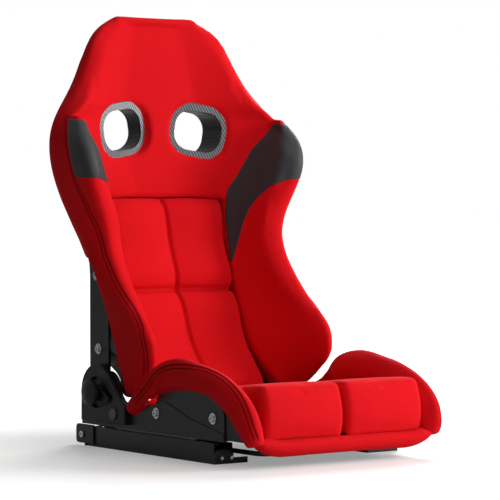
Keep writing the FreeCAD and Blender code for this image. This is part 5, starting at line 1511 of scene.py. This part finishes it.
class Upholstery:
    """All padded pieces of the seat, their seams, patches and threads."""

    def __init__(self, frame: dict, finishes: Finishes) -> None:
        """Keep the frame and the finishes.

        Args:
            finishes: Materials.
        """
        self.frame = frame
        self.finishes = finishes
        self.sewing = Sewing()

    def finish(self, piece: bpy.types.Object, cushion: Cushion, nodes: tuple[str, ...]) -> None:
        """Args:
            piece: The finished piece.
            cushion: What it was built from.
            nodes: The CAD nodes that it stands for.
        """
        self.finishes.dress(piece, cushion.slot, cushion.body)
        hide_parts(*nodes)
        LOG.info("%s on %s: %d faces", piece.name, cushion.body, len(piece.data.polygons))

    def threads(self, name: str, piece: bpy.types.Object, rows: list[np.ndarray], body: str,
                both: bool) -> None:
        """Make the thread of a piece, and its mirror image where it has one.

        Args:
            name: Name of the thread.
            piece: The padded piece that holds it.
            rows: Stitch lines.
            body: The body that it moves with.
            both: Whether the piece is one of a pair.
        """
        if not rows:
            return
        thread = self.sewing.thread(name, piece, rows)
        shade(thread)
        made = [thread]
        if both:
            made.append(mirror_copy(thread, name.replace("left", "right")))
        for row in made:
            self.finishes.dress(row, Slot.RED_FABRIC, body)
            row.data.materials[0] = self.finishes.thread

    def single(self, cushion: Cushion) -> bpy.types.Object:
        """Build a middle cushion.

        Args:
            cushion: What to build.

        Returns:
            The piece.
        """
        piece, rows = cushion.build(self.frame, self.sewing)
        self.threads(cushion.name + "_thread", piece, rows, cushion.body, False)
        self.finish(piece, cushion, cushion.nodes)
        return piece

    def pair(self, cushion: Cushion) -> bpy.types.Object:
        """Build a +X cushion and its mirror image.

        Args:
            cushion: What to build; its name and its node's name end in left.

        Returns:
            The +X piece.
        """
        piece, rows = cushion.build(self.frame, self.sewing)
        self.threads(cushion.name.replace("_left", "_thread_left"), piece, rows, cushion.body, True)
        other = mirror_copy(piece, cushion.name.replace("left", "right"))
        self.finish(other, cushion, tuple(node.replace("left", "right") for node in cushion.nodes))
        self.finish(piece, cushion, cushion.nodes)
        return piece

    def build(self) -> None:
        """Make every padded piece."""
        wing_seam = double_seam(WING_SEAM)
        cover = self.single(BackCover(
            "back_cover", ("head_cushion", "back_wing_left", "back_wing_right"), "backrest",
            voxel=0.0052, shrink=0.0, cap=0.003, seams=[wing_seam, wing_seam.mirrored()]))
        ShoulderPatch().build(cover, self.finishes)
        self.single(Cushion(
            "back_pad_cushion", ("back_pad",), "backrest", voxel=0.0045, shrink=-0.0008, cap=0.003,
            relax=3, raise_top=0.0045,
            seams=[Seam(PAD_SEAM_DOWN, depth=0.0050, reach=0.0090),
                   Seam(PAD_SEAM_ACROSS, depth=0.0050, reach=0.0100)]))
        self.pair(Cushion(
            "seat_bolster_cushion_left", ("seat_bolster_left",), "seat_slide", voxel=0.0036, cap=0.002,
            grow=0.0025, shrink=0.0012, relax=3,
            seams=[double_seam(BOLSTER_SEAM)]))
        self.pair(Cushion(
            "thigh_cushion_left", ("thigh_pad_left",), "seat_slide", Slot.RED_SUEDE, voxel=0.0042,
            shrink=-0.0004, cap=0.002, settle=5, stiffness=12.0))
        self.single(Cushion(
            "base_cushion", ("seat_cushion",), "seat_slide", voxel=0.0065, cap=0.004))
        self.single(FrontLip(
            "front_lip_cushion", ("front_lip",), "seat_slide", voxel=0.0034, cap=0.002,
            shrink=0.0, relax=2))


# Shoulder patches


@dataclass
class ShoulderPatch:
    """Black mesh panel sewn over the top of each wing.

    Its edges are millimetres on the +X side: the line where the wing meets the back, and the line
    that runs down the outer seam and then in along the lower edge.
    """

    inner: list[Point] = field(default_factory=lambda: [
        (153, 250, 388), (154, 254, 410), (156, 266, 455), (159, 280, 500), (166, 284, 550),
        (197, 274, 600), (218, 265, 642), (252, 252, 676), (264, 246, 694), (270, 243, 704)])
    outer: list[Point] = field(default_factory=lambda: [
        (154, 246, 389), (160, 243, 405), (167, 241, 427), (174, 238, 447), (182, 234, 472),
        (190, 230, 495), (200, 222, 517), (212, 211, 535), (223, 196, 551), (232, 186, 562),
        (241, 171, 570), (251, 155, 574), (264, 150, 576), (277, 166, 577), (283, 190, 578),
        (285, 206, 580), (291, 210, 608), (294, 215, 636), (293, 223, 668), (287, 237, 692),
        (280, 250, 704)])
    columns: int = 56
    row_step: float = 0.0045
    smoothing: int = 4
    edge_share: float = 0.55
    edge_gain: float = 0.15
    lift: float = 0.0011
    tuck: float = 0.0012
    thickness: float = 0.0012

    @staticmethod
    def slice_loop(places: np.ndarray, faces: list[tuple[int, ...]], target: np.ndarray) -> np.ndarray:
        """Closed outline of a mesh at the height of a point, and the one that passes nearest to it.

        Args:
            places: Vertex positions.
            faces: Vertex numbers of each face.
            target: The point.

        Returns:
            Outline points in order.
        """
        height = target[2]
        above = places[:, 2] > height
        links: dict[tuple[int, int], list[tuple[int, int]]] = {}
        for face in faces:
            flags = [above[i] for i in face]
            if all(flags) or not any(flags):
                continue
            cuts = []
            for first, second in zip(face, face[1:] + face[:1]):
                if above[first] != above[second]:
                    cuts.append((min(first, second), max(first, second)))
            for start, end in zip(cuts[::2], cuts[1::2]):
                links.setdefault(start, []).append(end)
                links.setdefault(end, []).append(start)
        best = np.empty((0, 3))
        nearest = math.inf
        seen: set[tuple[int, int]] = set()
        for start in links:
            if start in seen:
                continue
            chain = [start]
            seen.add(start)
            while True:
                following = [edge for edge in links[chain[-1]] if edge not in seen]
                if not following:
                    break
                chain.append(following[0])
                seen.add(following[0])
            points = []
            for first, second in chain:
                share = (height - places[first, 2]) / (places[second, 2] - places[first, 2])
                points.append(places[first] + share * (places[second] - places[first]))
            points = np.array(points)
            gap = np.linalg.norm(points - target, axis=1).min()
            if gap < nearest:
                best, nearest = points, gap
        return best

    def row(self, loop: np.ndarray, start: np.ndarray, end: np.ndarray) -> np.ndarray:
        """The shorter way along an outline from the inner to the outer edge of the patch.

        Args:
            loop: Closed outline.
            start: Point near the inner end.
            end: Point near the outer end.

        Returns:
            Evenly spaced points.
        """
        first = int(np.argmin(np.linalg.norm(loop - start, axis=1)))
        last = int(np.argmin(np.linalg.norm(loop - end, axis=1)))
        turned = np.roll(loop, -first, axis=0)
        split = (last - first) % len(loop)
        one = turned[:split + 1]
        two = np.vstack([turned[split:], turned[:1]])[::-1]
        sizes = [np.linalg.norm(np.diff(way, axis=0), axis=1).sum() for way in (one, two)]
        path = one if sizes[0] < sizes[1] else two
        if len(path) < 2:
            path = np.array([start, end])
        lengths = np.concatenate([[0.0], np.cumsum(np.linalg.norm(np.diff(path, axis=0), axis=1))])
        spots = np.linspace(0.0, lengths[-1], self.columns)
        return np.column_stack([np.interp(spots, lengths, path[:, axis]) for axis in range(3)])

    def build(self, cover: bpy.types.Object, finishes: Finishes) -> None:
        """Lay the patch on the finished cover and mirror it.

        Args:
            cover: The back's cover.
            finishes: Materials.
        """
        places = coordinates(cover)
        faces = [tuple(p.vertices) for p in cover.data.polygons]
        heights = [(min(places[i, 2] for i in face), max(places[i, 2] for i in face)) for face in faces]
        low, high = np.array(heights).T
        outer = resample(np.array(self.outer, float) * MM, self.row_step)
        inner = np.array(self.inner, float) * MM
        rows = []
        for end in outer:
            height = end[2]
            start = np.array([np.interp(height, inner[:, 2], inner[:, axis]) for axis in range(3)])
            crossed = [faces[i] for i in np.nonzero((low <= height) & (high > height))[0]]
            rows.append(self.row(self.slice_loop(places, crossed, end), start, end))
        grid = np.array(rows)
        for _ in range(self.smoothing):
            grid[1:-1, 1:-1] = 0.25 * (grid[:-2, 1:-1] + grid[2:, 1:-1] + grid[1:-1, :-2]
                                       + grid[1:-1, 2:])
        tree = surface_tree(cover)
        count_v, count_u = grid.shape[:2]
        vertices = []
        for v in range(count_v):
            for u in range(count_u):
                hit, normal, _, _ = tree.find_nearest(Vector(grid[v, u]))
                edge = min(u, v, count_u - 1 - u, count_v - 1 - v)
                rise = self.lift * min(1.0, self.edge_share + self.edge_gain * edge)
                lift = -self.tuck if edge == 0 else rise
                vertices.append(np.array(hit + normal * lift))
        quads = [(v * count_u + u, v * count_u + u + 1, (v + 1) * count_u + u + 1, (v + 1) * count_u + u)
                 for v in range(count_v - 1) for u in range(count_u - 1)]
        patch = mesh_object("shoulder_patch_left", vertices, quads)
        self.map(patch, grid, quads)
        in_edit_mode(patch, bpy.ops.mesh.normals_make_consistent, inside=False)
        middle = patch.data.vertices[(count_v // 2) * count_u + count_u // 2]
        outward = tree.find_nearest(middle.co)[1]
        if middle.normal.dot(outward) < 0:
            patch.data.flip_normals()
        apply_modifier(patch, "SOLIDIFY", thickness=self.thickness, offset=-1.0)
        apply_modifier(patch, "SUBSURF", levels=1, render_levels=1)
        shade(patch)
        other = mirror_copy(patch, "shoulder_patch_right")
        for piece in (patch, other):
            finishes.dress(piece, Slot.MESH_FABRIC, "backrest")

    @staticmethod
    def map(patch: bpy.types.Object, grid: np.ndarray, quads: list[tuple[int, ...]]) -> None:
        """Surface map in metres along the rows and columns.

        Args:
            patch: The patch object.
            grid: Its rows of points.
            quads: Its faces.
        """
        across = np.zeros(grid.shape[:2])
        along = np.zeros(grid.shape[:2])
        across[:, 1:] = np.cumsum(np.linalg.norm(np.diff(grid, axis=1), axis=2), axis=1)
        along[1:, :] = np.cumsum(np.linalg.norm(np.diff(grid, axis=0), axis=2).mean(axis=1))[:, None]
        layer = patch.data.uv_layers.new(name="map")
        spots = np.column_stack([across.ravel(), along.ravel()])
        flat = [spots[index] for quad in quads for index in quad]
        layer.data.foreach_set("uv", np.array(flat, np.float32).ravel())


# Studio


@dataclass
class Studio:
    """Camera, lamps, floor and background.

    The ambient value is the background's strength as a light, and the gloss share how far it goes
    towards white in reflections. The floor glows for the camera alone, weakly up to fade_start
    metres from the seat and fully from fade_end on.
    """

    clip_end: float = 100.0
    ambient: float = 0.075
    gloss_share: float = 0.30
    floor_size: float = 60.0
    floor_colour: tuple[float, ...] = (0.62, 0.62, 0.61, 1.0)
    floor_rough: float = 0.45
    floor_glow: float = 0.30
    fade_start: float = 0.35
    fade_end: float = 1.3

    def camera(self) -> None:
        """Place the camera at the photograph's angle."""
        data = bpy.data.cameras.new("photo_camera")
        data.lens = CAMERA_LENS
        data.sensor_width = CAMERA_SENSOR
        data.clip_end = self.clip_end
        holder = linked("photo_camera", data)
        turn = math.radians(CAMERA_TURN_DEG)
        dip = math.radians(CAMERA_DIP_DEG)
        forward = Vector((math.sin(turn) * math.cos(dip), math.cos(turn) * math.cos(dip),
                          -math.sin(dip)))
        holder.location = CAMERA_PLACE
        holder.rotation_mode = "QUATERNION"
        holder.rotation_quaternion = forward.to_track_quat("-Z", "Y")
        bpy.context.scene.camera = holder

    @staticmethod
    def lamp(name: str, place: Point, target: Point, size: float, power: float) -> None:
        """Add a square soft lamp.

        Args:
            name: Lamp name.
            place: Its centre.
            target: What it points at.
            size: Side length.
            power: Watts.
        """
        data = bpy.data.lights.new(name, "AREA")
        data.shape = "SQUARE"
        data.size = size
        data.energy = power
        lamp = linked(name, data)
        lamp.location = place
        lamp.rotation_mode = "QUATERNION"
        lamp.rotation_quaternion = (Vector(target) - Vector(place)).to_track_quat("-Z", "Y")

    def lamps(self) -> None:
        """Key and rim lamps at the right of the view, a weaker one in front and one above."""
        centre = (0.0, 0.0, 0.45)
        for name, place, size, power in (
                ("key_lamp", (3.1, -1.9, 1.5), 1.5, 122.0),
                ("front_lamp", (0.3, -3.8, 1.3), 1.8, 50.0),
                ("rim_lamp", (2.4, 1.7, 2.2), 1.4, 75.0),
                ("top_lamp", (0.2, -0.3, 3.0), 1.8, 22.0)):
            self.lamp(name, place, centre, size, power)

    def world(self) -> None:
        """White for the camera, grey in reflections and dim as a light."""
        world = bpy.data.worlds.new("studio")
        world.use_nodes = True
        bpy.context.scene.world = world
        graph = Graph(world.node_tree)
        background = shader_of(world.node_tree, "BACKGROUND")
        rays = graph.add("ShaderNodeLightPath")
        seen = graph.math("MAXIMUM", rays.outputs["Is Camera Ray"], rays.outputs["Is Transmission Ray"])
        glossy = graph.math("MULTIPLY", rays.outputs["Is Glossy Ray"], self.gloss_share)
        seen = graph.math("MAXIMUM", seen, glossy)
        graph.link(graph.ramp(seen, 0.0, 1.0, self.ambient, 1.0), background.inputs["Strength"])
        background.inputs["Color"].default_value = (1.0, 1.0, 1.0, 1.0)

    def floor(self) -> None:
        """Pale floor that keeps the seat's shadow and fades to white away from it."""
        bpy.ops.object.select_all(action="DESELECT")
        bpy.ops.mesh.primitive_plane_add(size=self.floor_size)
        floor = bpy.context.active_object
        floor.name = "studio_floor"
        material = bpy.data.materials.new("studio_floor")
        material.use_nodes = True
        graph = Graph(material.node_tree)
        shader = shader_of(material.node_tree, "BSDF_PRINCIPLED")
        output = shader_of(material.node_tree, "OUTPUT_MATERIAL")
        shader.inputs["Base Color"].default_value = self.floor_colour
        shader.inputs["Roughness"].default_value = self.floor_rough
        rays = graph.add("ShaderNodeLightPath")
        glow = graph.add("ShaderNodeEmission")
        place = graph.add("ShaderNodeTexCoord")
        away = graph.add("ShaderNodeVectorMath", operation="LENGTH")
        graph.link(place.outputs["Object"], away.inputs[0])
        white = graph.ramp(away.outputs["Value"], self.fade_start, self.fade_end, self.floor_glow, 1.0)
        graph.link(graph.math("MULTIPLY", rays.outputs["Is Camera Ray"], white), glow.inputs["Strength"])
        total = graph.add("ShaderNodeAddShader")
        graph.link(shader.outputs[0], total.inputs[0])
        graph.link(glow.outputs[0], total.inputs[1])
        graph.link(total.outputs[0], output.inputs["Surface"])
        floor.data.materials.append(material)

    def build(self) -> None:
        """Set up the whole studio."""
        scene = bpy.context.scene
        scene.view_settings.view_transform = "Standard"
        self.camera()
        self.lamps()
        self.world()
        self.floor()


def main() -> None:
    """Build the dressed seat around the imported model."""
    logging.basicConfig(level=logging.INFO, format="%(message)s")
    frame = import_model()
    Studio().build()
    finishes = Finishes()
    finishes.dress_nodes(frame)
    Upholstery(frame, finishes).build()


if __name__ == "__main__":
    main()
